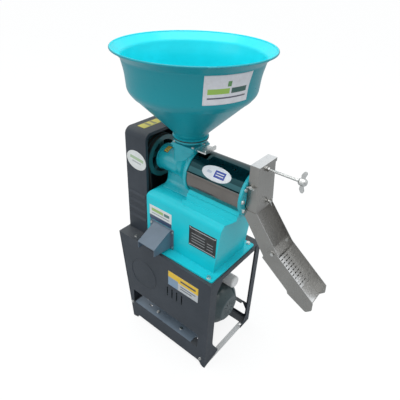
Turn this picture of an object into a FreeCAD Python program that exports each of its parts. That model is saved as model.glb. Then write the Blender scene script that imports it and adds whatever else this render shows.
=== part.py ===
import FreeCAD, Part
import math
import os
from FreeCAD import Vector

# Rice huller: a pressed-steel stand carries a motor, a hollow body that gathers the bran, and a
# hulling head on top of it. A funnel feeds a screw and a ribbed roller that turn inside a slotted
# screen. Hulled rice leaves past a pressure plate and runs down a two-part steel chute.
#
# Millimetres, +Z up, the operator stands at -Y, the belt guard is at -X, rice leaves at +X.
# Everything is drawn about the middle of the stand's top and the shaft's vertical plane (Y = 0).
# save() then moves it so that the origin is the centre of the four anchor holes on the floor.

os.makedirs("parts", exist_ok=True)

# Stand
STAND_W = 450.0
STAND_H = 435.0
FRONT = -145.0           # outer face of the front panel
BACK = 170.0             # outer face of the back frame
SHEET = 2.0
LEFT_INSET = 57.0        # the left legs lean in by this much at the floor
SKIRT_Z = 20.0           # lower edge of the skirt between the feet
SHELF_Z = 88.0           # the folds that carry the motor shelf
SHELF_T = 2.5
TIE_W = 20.0
TIE_T = 3.0
ANCHOR_R = 5.5
ANCHOR_Y = 120.0
FLOOR_FLANGE_Y = 131.0   # front edge of the back frame's floor flange

# Main shaft line
SHAFT_Z = 748.0
SHAFT_R = 15.0

# Drive, two V-belts side by side
BELT_X = (-142.5, -127.5)
PULLEY_X = (-153.0, -117.0)
DRIVEN_PITCH_R = 74.0
MOTOR_PITCH_R = 39.0
MOTOR_Y = 23.0
MOTOR_Z = SHELF_Z + SHELF_T + 90.0
MOTOR_FOOT_X = (-46.0, 79.0)
MOTOR_FOOT_DY = 70.0

# Belt guard
GUARD_X = (-219.0, -118.5)
GUARD_HALF_Y = 92.0
GUARD_TOP = 855.0
GUARD_T = 1.5

# Body that gathers the bran
BODY_X = (-117.5, 219.0)
BODY_TOP = 650.0
FLANGE_T = 6.0
FLANGE_HALF_Y = 133.0
WALL = 5.0

# Hulling chamber
CHAMBER_X = (48.0, 249.0)
COVER_R = 75.0
COVER_T = 1.5
SCREEN_R = 44.0
ROLLER_R = 38.0
RING_X = (249.0, 261.0)
RING_R = 80.0
SADDLE_TOP = 700.0

# Feed
GATE_Z = 828.0
GATE_SLOT = 6.0
NECK_R = 33.0
BORE_R = 27.0
NECK_TOP = 859.0
GASKET_T = 3.0
STUD_X = 48.0
HOPPER_Z = NECK_TOP + GASKET_T
RIM_R = 243.0
RIM_Z = 1142.0

# Outlet box and chutes
BOX_X = (261.0, 289.0, 301.0)   # back, front at the top, front at the bottom
BOX_Z = (713.0, 863.0)
BOX_HALF_Y = 48.0
STEEL = 1.2
SCREW_Z = 843.0
PIVOT = (373.0, 600.0)

# The left and right anchor holes decide where the origin lies
LEFT_TIE_X = -STAND_W / 2 + LEFT_INSET + 2.5
RIGHT_TIE_X = STAND_W / 2 - SHEET - TIE_W
ORIGIN_X = (LEFT_TIE_X + RIGHT_TIE_X + TIE_W) / 2

PLANES = {
    "xy": (lambda u, v, w: Vector(u, v, w), Vector(0, 0, 1)),
    "xz": (lambda u, v, w: Vector(u, w, v), Vector(0, 1, 0)),
    "yz": (lambda u, v, w: Vector(w, u, v), Vector(1, 0, 0)),
}


def box(x, y, z):
    """A block from three (low, high) pairs."""
    return Part.makeBox(x[1] - x[0], y[1] - y[0], z[1] - z[0], Vector(x[0], y[0], z[0]))


def rod(radius, start, end):
    """A cylinder between two points."""
    start = Vector(*start)
    axis = Vector(*end) - start
    return Part.makeCylinder(radius, axis.Length, start, axis)


def rod_x(radius, x0, x1, y=0.0, z=SHAFT_Z):
    return rod(radius, (x0, y, z), (x1, y, z))


def ring_x(outer, inner, x0, x1, y=0.0, z=SHAFT_Z):
    return rod_x(outer, x0, x1, y, z).cut(rod_x(inner, x0 - 1, x1 + 1, y, z))


def fuse(shapes):
    shapes = list(shapes)
    return shapes[0].multiFuse(shapes[1:]).removeSplitter()


def cut(shape, tools):
    return shape.cut(Part.makeCompound(list(tools)))


def rounded(corners, radii):
    """A closed wire through the corners; a radius of 0 leaves a corner sharp."""
    count = len(corners)
    if not isinstance(radii, (list, tuple)):
        radii = [radii] * count
    arcs = []
    for i, corner in enumerate(corners):
        if radii[i] == 0:
            arcs.append((corner, corner, corner))
            continue
        back = (corners[i - 1] - corner).normalize()
        ahead = (corners[(i + 1) % count] - corner).normalize()
        half = back.getAngle(ahead) / 2
        reach = radii[i] / math.tan(half)
        inward = (back + ahead).normalize()
        middle = corner + inward * (radii[i] / math.sin(half) - radii[i])
        arcs.append((corner + back * reach, middle, corner + ahead * reach))
    edges = []
    for i, (start, middle, end) in enumerate(arcs):
        if radii[i] > 0:
            edges.append(Part.Arc(start, middle, end).toShape())
        following = arcs[(i + 1) % count][0]
        if (following - end).Length > 1e-6:
            edges.append(Part.LineSegment(end, following).toShape())
    return Part.Wire(edges)


def face(points, radii, plane, level):
    place = PLANES[plane][0]
    return Part.Face(rounded([place(u, v, level) for u, v in points], radii))


def prism(points, radii, plane, span):
    """A rounded polygon in a plane, pushed along the plane's normal over a (low, high) span."""
    normal = PLANES[plane][1]
    return face(points, radii, plane, span[0]).extrude(normal * (span[1] - span[0]))


def turned_x(points, radii=0, y=0.0, z=SHAFT_Z):
    """A closed (x, radius) profile turned about a line along X."""
    profile = face([(x, z + r) for x, r in points], radii, "xz", y)
    return profile.revolve(Vector(0, y, z), Vector(1, 0, 0), 360)


def turned_z(points, radii=0):
    """A closed (radius, z) profile turned about the feed's vertical axis."""
    return face(points, radii, "xz", 0.0).revolve(Vector(0, 0, 0), Vector(0, 0, 1), 360)


def around_x(shape, count, y=0.0, z=SHAFT_Z, first=0.0):
    copies = []
    for i in range(count):
        copy = shape.copy()
        copy.rotate(Vector(0, y, z), Vector(1, 0, 0), first + 360.0 * i / count)
        copies.append(copy)
    return copies


def hexagon(across, height, base, axis):
    """A hexagonal head or nut, measured across its flats, standing on a point along an axis."""
    corner = across / math.sqrt(3)
    points = []
    for i in range(7):
        angle = math.radians(60 * i)
        points.append(Vector(corner * math.cos(angle), corner * math.sin(angle), 0))
    body = Part.Face(Part.makePolygon(points)).extrude(Vector(0, 0, height))
    body.Placement = FreeCAD.Placement(Vector(*base), FreeCAD.Rotation(Vector(0, 0, 1), Vector(*axis)))
    return body


def bolt(head_at, axis, grip, size=6.0, nut=True):
    """A hex bolt: head outside the surface at head_at, shank along -axis, nut past the grip."""
    axis = Vector(*axis)
    start = Vector(*head_at)
    washer = Part.makeCylinder(size * 1.05, 1.2, start, axis)
    head = hexagon(size * 1.65, size * 0.65, start + axis * 1.2, axis)
    length = grip + (size if nut else 0.0)
    pieces = [washer, head, Part.makeCylinder(size / 2, length, start, axis * -1)]
    if nut:
        pieces.append(hexagon(size * 1.65, size * 0.8, start - axis * grip, axis * -1))
    return fuse(pieces)


def bolt_hole(head_at, axis, depth, size=6.0):
    start = Vector(*head_at) + Vector(*axis)
    return Part.makeCylinder(size / 2 + 0.05, depth + 1.0, start, Vector(*axis) * -1)


def wing_nut(centre, axis, span=26.0, height=9.0):
    """A hub with two rounded ears, its axis through the centre point."""
    hub = Part.makeCylinder(height * 0.6, height, Vector(0, 0, 0))
    tip = span / 2
    ear_points = [(0, 0.5), (tip, height * 0.8), (tip, height * 1.7), (0, height)]
    ears = [prism(ear_points, [0, 2.5, 2.5, 0], "xz", (-1.4, 1.4))]
    ears.append(ears[0].mirror(Vector(0, 0, 0), Vector(1, 0, 0)))
    body = fuse([hub] + ears)
    body.Placement = FreeCAD.Placement(
        Vector(*centre), FreeCAD.Rotation(Vector(0, 0, 1), Vector(*axis)))
    return body


# ---------------------------------------------------------------- stand

LEAN = math.atan(LEFT_INSET / STAND_H)
TOP_FLANGE = 60.0
SHELF_RIGHT = 150.0
FRONT_BOLTS = ((-168.0, 84.0), (202.0, 38.0))
SHELF_BOLTS = [(x, y) for x in (-42.0, 83.0) for y in (-121.0, 160.0)]
BODY_BOLTS = [(x, y) for x in (-60.0, 198.0) for y in (-122.0, 122.0)]
GUARD_BOLTS = [(-149.0, y) for y in (-126.0, 126.0)]
TOP_BOLTS = [(x, y, 8.0) for x, y in BODY_BOLTS] + [(x, y, 6.0) for x, y in GUARD_BOLTS]

# Distance in from the panel and height along a leg's return flange
FRONT_LEG = ((0, 0), (84, 22), (84, 30), (42, 100), (42, 375), (70, 408), (70, STAND_H), (0, STAND_H))
FRONT_LEG_RADII = [0, 3, 6, 60, 30, 10, 0, 0]
BACK_LEG = ((0, 0), (64, 0), (64, 8), (29, 48), (29, STAND_H), (0, STAND_H))
BACK_LEG_RADII = [6, 0, 4, 30, 0, 0]


def left_edge_x(z):
    return -STAND_W / 2 + math.tan(LEAN) * (STAND_H - z)


def leg_flanges(reach, radii, panel_y, inward):
    """The return flanges of a panel's two legs; the left one leans with its leg."""
    right = STAND_W / 2
    flanges = []
    for stretch, span in ((1.0, (right - SHEET, right)), (1 / math.cos(LEAN), (-right, -right + SHEET))):
        points = [(panel_y + inward * y, STAND_H - (STAND_H - z) * stretch) for y, z in reach]
        flanges.append(prism(points, radii, "yz", span))
    flanges[1].rotate(Vector(-right, 0, STAND_H), Vector(0, 1, 0), -math.degrees(LEAN))
    return flanges


def drilled_panel(pieces, y_side):
    """Joins a panel's sheets, trims the leaning leg at the top and drills the flanges."""
    above = box((-300, 300), (-300, 300), (STAND_H, STAND_H + 50))
    holes = [bolt_hole((x, y, SHELF_Z), (0, 0, 1), 6) for x, y in SHELF_BOLTS if y * y_side > 0]
    holes += [bolt_hole((x, y, STAND_H), (0, 0, 1), 6, size) for x, y, size in TOP_BOLTS if y * y_side > 0]
    return cut(fuse(pieces), [above] + holes)


def front_panel():
    """Pressed sheet: legs, skirt, motor window, sunk left border, raised ring and vent slots."""
    right = STAND_W / 2
    left_foot = left_edge_x(0)
    outline = [(-right, STAND_H), (right, STAND_H), (right, 0), (right - 12, 0),
               (right - 30, SKIRT_Z), (left_foot + 30, SKIRT_Z), (left_foot + 12, 0), (left_foot, 0)]
    sheet = prism(outline, [0, 0, 0, 3, 8, 8, 3, 0], "xz", (FRONT, FRONT + SHEET))
    through = (FRONT - 5, FRONT + 5)
    openings = [prism([(-160, SHELF_Z), (185, SHELF_Z), (185, 160), (-160, 160)], [0.5, 0.5, 7, 7], "xz", through)]
    openings += [prism([(x - 3, 258), (x + 3, 258), (x + 3, 305), (x - 3, 305)], 2.9, "xz", through)
                 for x in (31, 54, 77, 101)]
    openings += [bolt_hole((x, FRONT, z), (0, -1, 0), 4) for x, z in FRONT_BOLTS]
    border = prism([(-240, 460), (-197, 460), (-158, 165), (-163, 84), (-200, 60), (-240, 200)],
                   0, "xz", (FRONT - 1, FRONT + 0.9))
    top = box((-right, right), (FRONT, FRONT + TOP_FLANGE), (STAND_H - SHEET, STAND_H))
    fold = box((-158, 183), (FRONT + SHEET, FRONT + 32), (SHELF_Z - SHEET, SHELF_Z))
    bead = Part.makeTorus(66.0, 1.7, Vector(-95, FRONT, 287), Vector(0, 1, 0))
    pressed = fuse([cut(sheet, openings + [border]), bead])
    return drilled_panel([pressed, top, fold] + leg_flanges(FRONT_LEG, FRONT_LEG_RADII, FRONT, 1), -1)


def back_panel():
    """The open back frame: narrow legs, a top band, the bar that holds the shelf and a floor flange."""
    right = STAND_W / 2
    left_foot = left_edge_x(0)
    sheet = prism([(-right, STAND_H), (right, STAND_H), (right, 0), (left_foot, 0)], 0, "xz", (BACK - SHEET, BACK))
    through = (BACK - 5, BACK + 5)
    upper = prism([(-198, 392), (205, 392), (205, SHELF_Z), (-156, SHELF_Z)], [8, 2, 2, 8], "xz", through)
    lower = prism([(-154, 78), (188, 78), (205, 50), (205, 14), (-146, 14)], [6, 4, 10, 10, 10], "xz", through)
    top = box((-right, right), (BACK - TOP_FLANGE, BACK), (STAND_H - SHEET, STAND_H))
    fold = box((-158, 188), (BACK - 18, BACK - SHEET), (SHELF_Z - SHEET, SHELF_Z))
    floor = box((left_foot + SHEET, right - SHEET), (FLOOR_FLANGE_Y, BACK - SHEET), (0, SHEET))
    return drilled_panel([cut(sheet, [upper, lower]), top, fold, floor]
                         + leg_flanges(BACK_LEG, BACK_LEG_RADII, BACK, -1), 1)


def top_rail(web_x, leg_x):
    """An angle welded under the top flanges of the two panels; body bolts pass through the right one."""
    top = STAND_H - SHEET
    span = (FRONT + SHEET, BACK - SHEET)
    rail = fuse([box(web_x, span, (top - 20, top)), box(leg_x, span, (top - SHEET, top))])
    return cut(rail, [bolt_hole((x, y, STAND_H), (0, 0, 1), 8, 8.0) for x, y in BODY_BOLTS])


def motor_shelf():
    """The folded shelf, slotted so that the motor can be slid to tighten the belts."""
    left = -155.0
    plate = box((left, SHELF_RIGHT), (FRONT + SHEET, BACK - SHEET), (SHELF_Z, SHELF_Z + SHELF_T))
    folds = [box((x, x + SHELF_T), (-108, 147), (SHELF_Z - 20, SHELF_Z)) for x in (left, SHELF_RIGHT - SHELF_T)]
    slots = []
    for x in MOTOR_FOOT_X:
        for side in (-1, 1):
            y = MOTOR_Y + side * MOTOR_FOOT_DY
            slots.append(prism([(x - 5.5, y - 14), (x + 5.5, y - 14), (x + 5.5, y + 14), (x - 5.5, y + 14)],
                               5.4, "xy", (SHELF_Z - 5, SHELF_Z + 9)))
    for x, y in ((-122, -97), (-90, -114), (-90, -92)):
        slots.append(prism([(x - 8, y - 4), (x + 8, y - 4), (x + 8, y + 4), (x - 8, y + 4)], 3.9, "xy",
                           (SHELF_Z - 5, SHELF_Z + 9)))
    holes = [bolt_hole((x, y, SHELF_Z + SHELF_T), (0, 0, 1), 9) for x, y in SHELF_BOLTS]
    return cut(fuse([plate] + folds), slots + holes)


def foot_tie(x):
    """A flat bar on the floor between a front and a back leg, with two anchor holes."""
    bar = box((x, x + TIE_W), (FRONT + SHEET, FLOOR_FLANGE_Y), (0, TIE_T))
    middle = x + TIE_W / 2
    return cut(bar, [rod(ANCHOR_R, (middle, y, -1), (middle, y, TIE_T + 1)) for y in (-ANCHOR_Y, ANCHOR_Y)])


def stand_bolts():
    pieces = [bolt((x, FRONT, z), (0, -1, 0), SHEET) for x, z in FRONT_BOLTS]
    pieces += [bolt((x, y, SHELF_Z + SHELF_T), (0, 0, 1), SHEET + SHELF_T) for x, y in SHELF_BOLTS]
    pieces += [bolt((x, y, STAND_H + GUARD_T), (0, 0, 1), SHEET + GUARD_T) for x, y in GUARD_BOLTS]
    return Part.makeCompound(pieces)


# ---------------------------------------------------------------- motor

def motor_turned(points, radii=0):
    return turned_x(points, radii, MOTOR_Y, MOTOR_Z)


def motor_ring(outer, inner, x0, x1):
    return ring_x(outer, inner, x0, x1, MOTOR_Y, MOTOR_Z)


MOTOR_X = (-78.0, 104.0)       # ribbed frame between the two end shields
STATOR_R = 62.0
ROTOR_R = 45.0


def motor_frame():
    """A ribbed tube with two cast feet."""
    x0, x1 = MOTOR_X
    shell = rod_x(78.0, x0, x1, MOTOR_Y, MOTOR_Z)
    rib = box((x0 + 6, x1 - 6), (MOTOR_Y - 1.5, MOTOR_Y + 1.5), (MOTOR_Z + 60, MOTOR_Z + 86))
    ribs = [r for i, r in enumerate(around_x(rib, 24, MOTOR_Y, MOTOR_Z)) if not 9 <= i <= 15]
    feet = [(-88, -90), (-52, -90), (-42, -78), (42, -78), (52, -90), (88, -90), (88, -80), (64, -58), (-64, -58),
            (-88, -80)]
    feet = [(MOTOR_Y + y, MOTOR_Z + z) for y, z in feet]
    base = prism(feet, [2, 3, 3, 3, 3, 2, 4, 6, 6, 4], "yz", (MOTOR_FOOT_X[0] - 16, MOTOR_FOOT_X[1] + 16))
    frame = fuse([shell, base] + ribs)
    tools = [rod_x(STATOR_R, x0 - 1, x1 + 1, MOTOR_Y, MOTOR_Z)]
    for x in MOTOR_FOOT_X:
        for side in (-1, 1):
            y = MOTOR_Y + side * MOTOR_FOOT_DY
            tools.append(rod(4.05, (x, y, MOTOR_Z - 95), (x, y, MOTOR_Z - 60)))
            tools.append(rod(9.0, (x, y, MOTOR_Z - 79), (x, y, MOTOR_Z - 55)))
    return cut(frame, tools)


def motor_foot_bolts():
    pieces = []
    for x in MOTOR_FOOT_X:
        for side in (-1, 1):
            head = (x, MOTOR_Y + side * MOTOR_FOOT_DY, MOTOR_Z - 79)
            pieces.append(bolt(head, (0, 0, 1), 11 + SHELF_T, size=8.0))
    return Part.makeCompound(pieces)


def stator():
    """Laminated core with the copper end windings standing out of both faces."""
    core = motor_ring(STATOR_R, ROTOR_R + 0.5, -48, 74)
    windings = motor_ring(STATOR_R - 4, ROTOR_R + 4, -64, 90)
    return fuse([core, windings])


def end_shield(face_x, out):
    """A domed cover with a bearing boss; out is the direction away from the frame."""
    points = [(0, 78), (0, 30), (-8, 30), (-8, 26), (12, 26), (12, 16), (16, 16), (16, 34), (9, 60), (7, 80), (0, 80)]
    profile = [(face_x + out * x, r) for x, r in points]
    return motor_turned(profile, [0, 0, 0, 0, 0, 0, 2, 4, 6, 2, 0])


def motor_bearing(face_x, out):
    x0 = face_x - out * 4
    x1 = face_x + out * 11
    return motor_ring(26.0, 12.5 + RUN, min(x0, x1), max(x0, x1))


def motor_shaft():
    """Stepped shaft: pulley end, two bearing seats, the core seat and the fan seat."""
    points = [(-154, 0), (-154, 11), (-153, 12), (-92, 12), (-92, 12.5), (-60, 12.5), (-60, 16), (88, 16),
              (88, 12.5), (120, 12.5), (120, 10), (152, 10), (152, 0)]
    return motor_turned(points)


def motor_rotor():
    return motor_ring(ROTOR_R, 16.0, -48, 74)


def motor_fan():
    """A radial fan: a disc, a hub and seven flat blades."""
    hub = motor_ring(20.0, 10.0, 126, 150)
    disc = motor_ring(66.0, 10.0, 126, 129)
    blade = box((128, 150), (MOTOR_Y - 1.25, MOTOR_Y + 1.25), (MOTOR_Z + 18, MOTOR_Z + 64))
    return fuse([hub, disc] + around_x(blade, 7, MOTOR_Y, MOTOR_Z))


def fan_cowl():
    """A deep domed cup over the fan, with a ring of narrow air slots in its flat end."""
    points = [(110, 84.5), (110, 86), (176, 86), (205, 52), (205, 0), (203.5, 0), (203.5, 51.4), (175, 84.5)]
    cup = motor_turned(points, [0, 0, 34, 16, 0, 0, 14.5, 32.5])
    slot = box((200, 208), (MOTOR_Y - 1.1, MOTOR_Y + 1.1), (MOTOR_Z + 16, MOTOR_Z + 36))
    return cut(cup, around_x(slot, 12, MOTOR_Y, MOTOR_Z))


CAPACITOR_R = 24.0
CAPACITOR_AT = (MOTOR_Y + 36, MOTOR_Z + 106)


def capacitor():
    """The start capacitor, a can that lies along the top of the motor."""
    return turned_x([(92, 0), (92, CAPACITOR_R), (202, CAPACITOR_R), (202, 0)], [0, 4, 9, 0], *CAPACITOR_AT)


def capacitor_saddle():
    """A folded strap that holds the can on the motor's ribs."""
    y, z = CAPACITOR_AT
    strap = ring_x(CAPACITOR_R + 2, CAPACITOR_R, 94, 104, y, z)
    foot = box((94, 104), (y - 14, y + 14), (MOTOR_Z + 72, z))
    foot = foot.cut(rod_x(CAPACITOR_R, 80, 120, y, z)).cut(rod_x(78.0, 80, 120, MOTOR_Y, MOTOR_Z))
    rib = box((80, 120), (MOTOR_Y - 1.5, MOTOR_Y + 1.5), (MOTOR_Z + 60, MOTOR_Z + 86.0))
    return cut(fuse([strap, foot]), around_x(rib, 24, MOTOR_Y, MOTOR_Z))


def terminal_box():
    """The wiring box on the far side of the motor, with its cable gland."""
    y0 = MOTOR_Y + 84.5
    case = prism([(-20, MOTOR_Z - 4), (62, MOTOR_Z - 4), (62, MOTOR_Z + 54), (-20, MOTOR_Z + 54)], 6, "xz",
                 (y0 - 20, y0 + 24))
    case = case.cut(rod_x(78.0, -60, 90, MOTOR_Y, MOTOR_Z))
    rib = box((-72, 98), (MOTOR_Y - 1.5, MOTOR_Y + 1.5), (MOTOR_Z + 60, MOTOR_Z + 86))
    case = cut(case, around_x(rib, 24, MOTOR_Y, MOTOR_Z))
    return case


def cable_gland():
    y = MOTOR_Y + 100
    z = MOTOR_Z + 25
    body = fuse([rod((9.0), (62, y, z), (76, y, z)), hexagon(22, 6, (62, y, z), (1, 0, 0))])
    return body.cut(rod(5.0, (60, y, z), (80, y, z)))


# ---------------------------------------------------------------- pulleys, belts and guard

def groove(x, pitch_r):
    """A V-belt groove with a little room on each side of the belt."""
    return [(x - 7.1, pitch_r + 4), (x - 4.5, pitch_r - 5.2), (x + 4.5, pitch_r - 5.2), (x + 7.1, pitch_r + 4)]


def pulley_rim(pitch_r, inner_r, x_shift=0.0):
    x0, x1 = PULLEY_X
    points = [(x0, inner_r), (x0, pitch_r + 4)]
    for x in BELT_X:
        points += groove(x, pitch_r)
    points += [(x1, pitch_r + 4), (x1, inner_r)]
    return points


def driven_pulley():
    """Cast pulley: two grooves, five tapered spokes, a hub with a set-screw collar."""
    rim = turned_x(pulley_rim(DRIVEN_PITCH_R, 61.0))
    hub = ring_x(25.0, 14.0, PULLEY_X[0], PULLEY_X[1])
    spoke = prism([(-11, SHAFT_Z + 20), (11, SHAFT_Z + 20), (7, SHAFT_Z + 63), (-7, SHAFT_Z + 63)], 0, "yz",
                  (-141, -129))
    bore = rod_x(14.0, -160, -110)
    return fuse([rim, hub] + around_x(spoke, 5)).cut(bore)


def motor_pulley():
    rim = turned_x(pulley_rim(MOTOR_PITCH_R, 12.0), 0, MOTOR_Y, MOTOR_Z)
    return rim


def belt_section(x, radius):
    return [(x - 6.3, radius + 3.4), (x + 6.3, radius + 3.4), (x + 4.0, radius - 4.6), (x - 4.0, radius - 4.6)]


def drive_belt(x):
    """One V-belt: two wraps turned about the pulley centres and two straight runs."""
    top = Vector(0, 0, SHAFT_Z)
    low = Vector(0, MOTOR_Y, MOTOR_Z)
    run = low - top
    spread = math.degrees(math.acos((DRIVEN_PITCH_R - MOTOR_PITCH_R) / run.Length))
    heading = math.degrees(math.atan2(run.z, run.y))
    pieces = []
    for centre, radius, start, sweep in ((top, DRIVEN_PITCH_R, heading + spread, 360 - 2 * spread),
                                         (low, MOTOR_PITCH_R, heading - spread, 2 * spread)):
        section = face([(u, centre.z + v) for u, v in belt_section(x, radius)], 0, "xz", centre.y)
        section.rotate(centre, Vector(1, 0, 0), start - 90)
        pieces.append(section.revolve(centre, Vector(1, 0, 0), sweep))
    length = math.sqrt(run.Length ** 2 - (DRIVEN_PITCH_R - MOTOR_PITCH_R) ** 2)
    for side in (-1, 1):
        angle = heading + side * spread
        section = face([(u, top.z + v) for u, v in belt_section(x, DRIVEN_PITCH_R)], 0, "xz", top.y)
        section.rotate(top, Vector(1, 0, 0), angle - 90)
        tangent = math.radians(angle - side * 90)
        pieces.append(section.extrude(Vector(0, math.cos(tangent), math.sin(tangent)) * length))
    return fuse(pieces)


def belt_guard():
    """A deep folded cover, open toward the machine, with louvres low on its front."""
    x0, x1 = GUARD_X
    half = GUARD_HALF_Y

    def section(inset):
        reach = half - inset
        return [(-reach, STAND_H - 1), (reach, STAND_H - 1), (reach, GUARD_TOP - inset), (-reach, GUARD_TOP - inset)]

    outer = prism(section(0), [0, 0, 26, 26], "yz", (x0, x1))
    inner = prism(section(GUARD_T), [0, 0, 26 - GUARD_T, 26 - GUARD_T], "yz", (x0 + GUARD_T, x1 + 1))
    lip = prism(section(0), [0, 0, 26, 26], "yz", (x1 - GUARD_T, x1))
    lip = lip.cut(prism(section(11), [0, 0, 18, 18], "yz", (x1 - 5, x1 + 5)))
    shell = fuse([outer.cut(inner), lip]).cut(box((-300, 0), (-200, 200), (STAND_H - 10, STAND_H)))
    tabs = [box((-166, -132), (side * half - 48 * (side < 0), side * half + 48 * (side > 0)),
                (STAND_H, STAND_H + GUARD_T)) for side in (-1, 1)]
    slots = []
    hoods = []
    for z in (605.0, 571.0, 537.0, 503.0):
        slots.append(box((-208, -126), (-half - 3, -half + 3), (z - 4, z + 3)))
        hoods.append(prism([(-half + 1.4, z + 5), (-half - 5, z - 3), (-half - 6, z - 2.2), (-half - 0.3, z + 6.6)], 0,
                           "yz", (-210, -124)))
    guard = fuse([cut(shell, slots)] + tabs + hoods)
    return cut(guard, [bolt_hole((x, y, STAND_H + 5), (0, 0, 1), 10) for x, y in GUARD_BOLTS])


# ---------------------------------------------------------------- body and bran chute

BRAN_X = (-75.0, 5.0)
BRAN_PLATE_X = (-100.0, 15.0)
BRAN_PLATE_Z = (441.5, 530.0)
BRAN_BOLTS = [(x, z) for x in (-92.0, 10.0) for z in (452.0, 518.0)]
BODY_FRONT = -95.0


def body_block(inset):
    """The body's rounded block: the right end leans out and the top edges are rounded."""
    low = STAND_H - 1 if inset else STAND_H + 1
    half = -BODY_FRONT - inset
    side = [(-half, low), (half, low), (half, BODY_TOP - inset), (-half, BODY_TOP - inset)]
    across = prism(side, [0, 0, 34 - inset, 34 - inset], "yz", (-200, 300))
    x0 = BODY_X[0] + inset
    along = [(x0, low), (195 - inset, low), (216 - inset, BODY_TOP - inset), (x0, BODY_TOP - inset)]
    return across.common(prism(along, [0, 0, 10 - inset, 32 - inset], "xz", (-200, 200)))


def saddle():
    """The stepped seat for the chamber, carried out to the end ring."""
    steps = [(-80, 644), (-76, 663), (-71, 665), (-68, 686), (-62, 688), (-58, SADDLE_TOP)]
    steps += [(-y, z) for y, z in reversed(steps)]
    x0, x1 = CHAMBER_X
    across = prism(steps, 0, "yz", (x0 - 12, x1))
    along = [(x0 - 12, 640), (212, 640), (x1, 672), (x1, SADDLE_TOP), (x0, SADDLE_TOP), (x0, 663), (x0 - 12, 663)]
    return across.common(prism(along, [0, 12, 6, 0, 0, 0, 0], "xz", (-200, 200)))


def bran_housing():
    """Hollow body: wide base flange, rounded block, stepped saddle and the bran outlet."""
    flange = prism([(BODY_X[0], -FLANGE_HALF_Y), (BODY_X[1], -FLANGE_HALF_Y), (BODY_X[1], FLANGE_HALF_Y),
                    (BODY_X[0], FLANGE_HALF_Y)], 8, "xy", (STAND_H, STAND_H + FLANGE_T))
    outside = fuse([flange, body_block(0), saddle()])
    trough = box((54, 239), (-50, 50), (670, SADDLE_TOP + 1))
    drop = box((54, 200), (-50, 50), (600, SADDLE_TOP + 1))
    outlet = box((-68, -2), (BODY_FRONT - 5, BODY_FRONT + 10), (452, 520))
    holes = [bolt_hole((x, y, STAND_H + FLANGE_T), (0, 0, 1), 10, 8.0) for x, y in BODY_BOLTS]
    holes += [bolt_hole((x, BODY_FRONT, z), (0, -1, 0), 10, 4.0) for x, z in BRAN_BOLTS]
    return cut(outside, [body_block(WALL), trough, drop, outlet] + holes)


def body_bolts():
    top = STAND_H + FLANGE_T
    return Part.makeCompound([bolt((x, y, top), (0, 0, 1), FLANGE_T + 2 * SHEET, size=8.0) for x, y in BODY_BOLTS])


def bran_slide():
    """The sloping sheet inside the body that brings the bran to its outlet."""
    plate = box((-400, 400), (-300, 300), (0, 1.5))
    plate.rotate(Vector(0, 0, 0), Vector(1, 0, 0), 31)
    plate.rotate(Vector(0, 0, 0), Vector(0, 1, 0), -17)
    plate.translate(Vector(-60, BODY_FRONT, 449))
    inside = body_block(WALL + 0.1).common(box((-300, 300), (-200, 200), (STAND_H + FLANGE_T + 2, BODY_TOP - 8)))
    return plate.common(inside)


def bran_chute():
    """A bolted plate with a sloping hood, open below and in front."""
    y = BODY_FRONT
    plate = prism([(BRAN_PLATE_X[0], BRAN_PLATE_Z[0]), (BRAN_PLATE_X[1], BRAN_PLATE_Z[0]),
                   (BRAN_PLATE_X[1], BRAN_PLATE_Z[1]), (BRAN_PLATE_X[0], BRAN_PLATE_Z[1])], 4, "xz", (y - 2, y))
    side = [(y - 2, 450), (y - 2, 529), (y - 8, 529), (y - 91, 489), (y - 91, 459)]
    inner = [(y + 5, 440), (y + 5, 527), (y - 8.4, 527), (y - 100, 482.8), (y - 100, 440)]
    hood = prism(side, [0, 0, 5, 1, 2], "yz", BRAN_X)
    hollow = prism(inner, [0, 0, 4, 0, 0], "yz", (BRAN_X[0] + 2, BRAN_X[1] - 2))
    mouth = box((-68, -2), (y - 5, y + 5), (452, 520))
    holes = [bolt_hole((x, y - 2, z), (0, -1, 0), 6, 4.0) for x, z in BRAN_BOLTS]
    shell = fuse([hood.cut(hollow), plate.cut(mouth)])
    return cut(shell, holes)


def bran_chute_bolts():
    y = BODY_FRONT - 2
    return Part.makeCompound([bolt((x, y, z), (0, -1, 0), WALL + 1.5, size=4.0, nut=False)
                              for x, z in BRAN_BOLTS])


# ---------------------------------------------------------------- hulling head

BEARING_X = ((-94.0, -77.0), (-46.0, -29.0))
BEARING_R = 36.0
SEAT_R = 17.5
RUN = 0.05                # radial running clearance between a shaft and its bearing
CAP_SCREWS = 4


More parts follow.
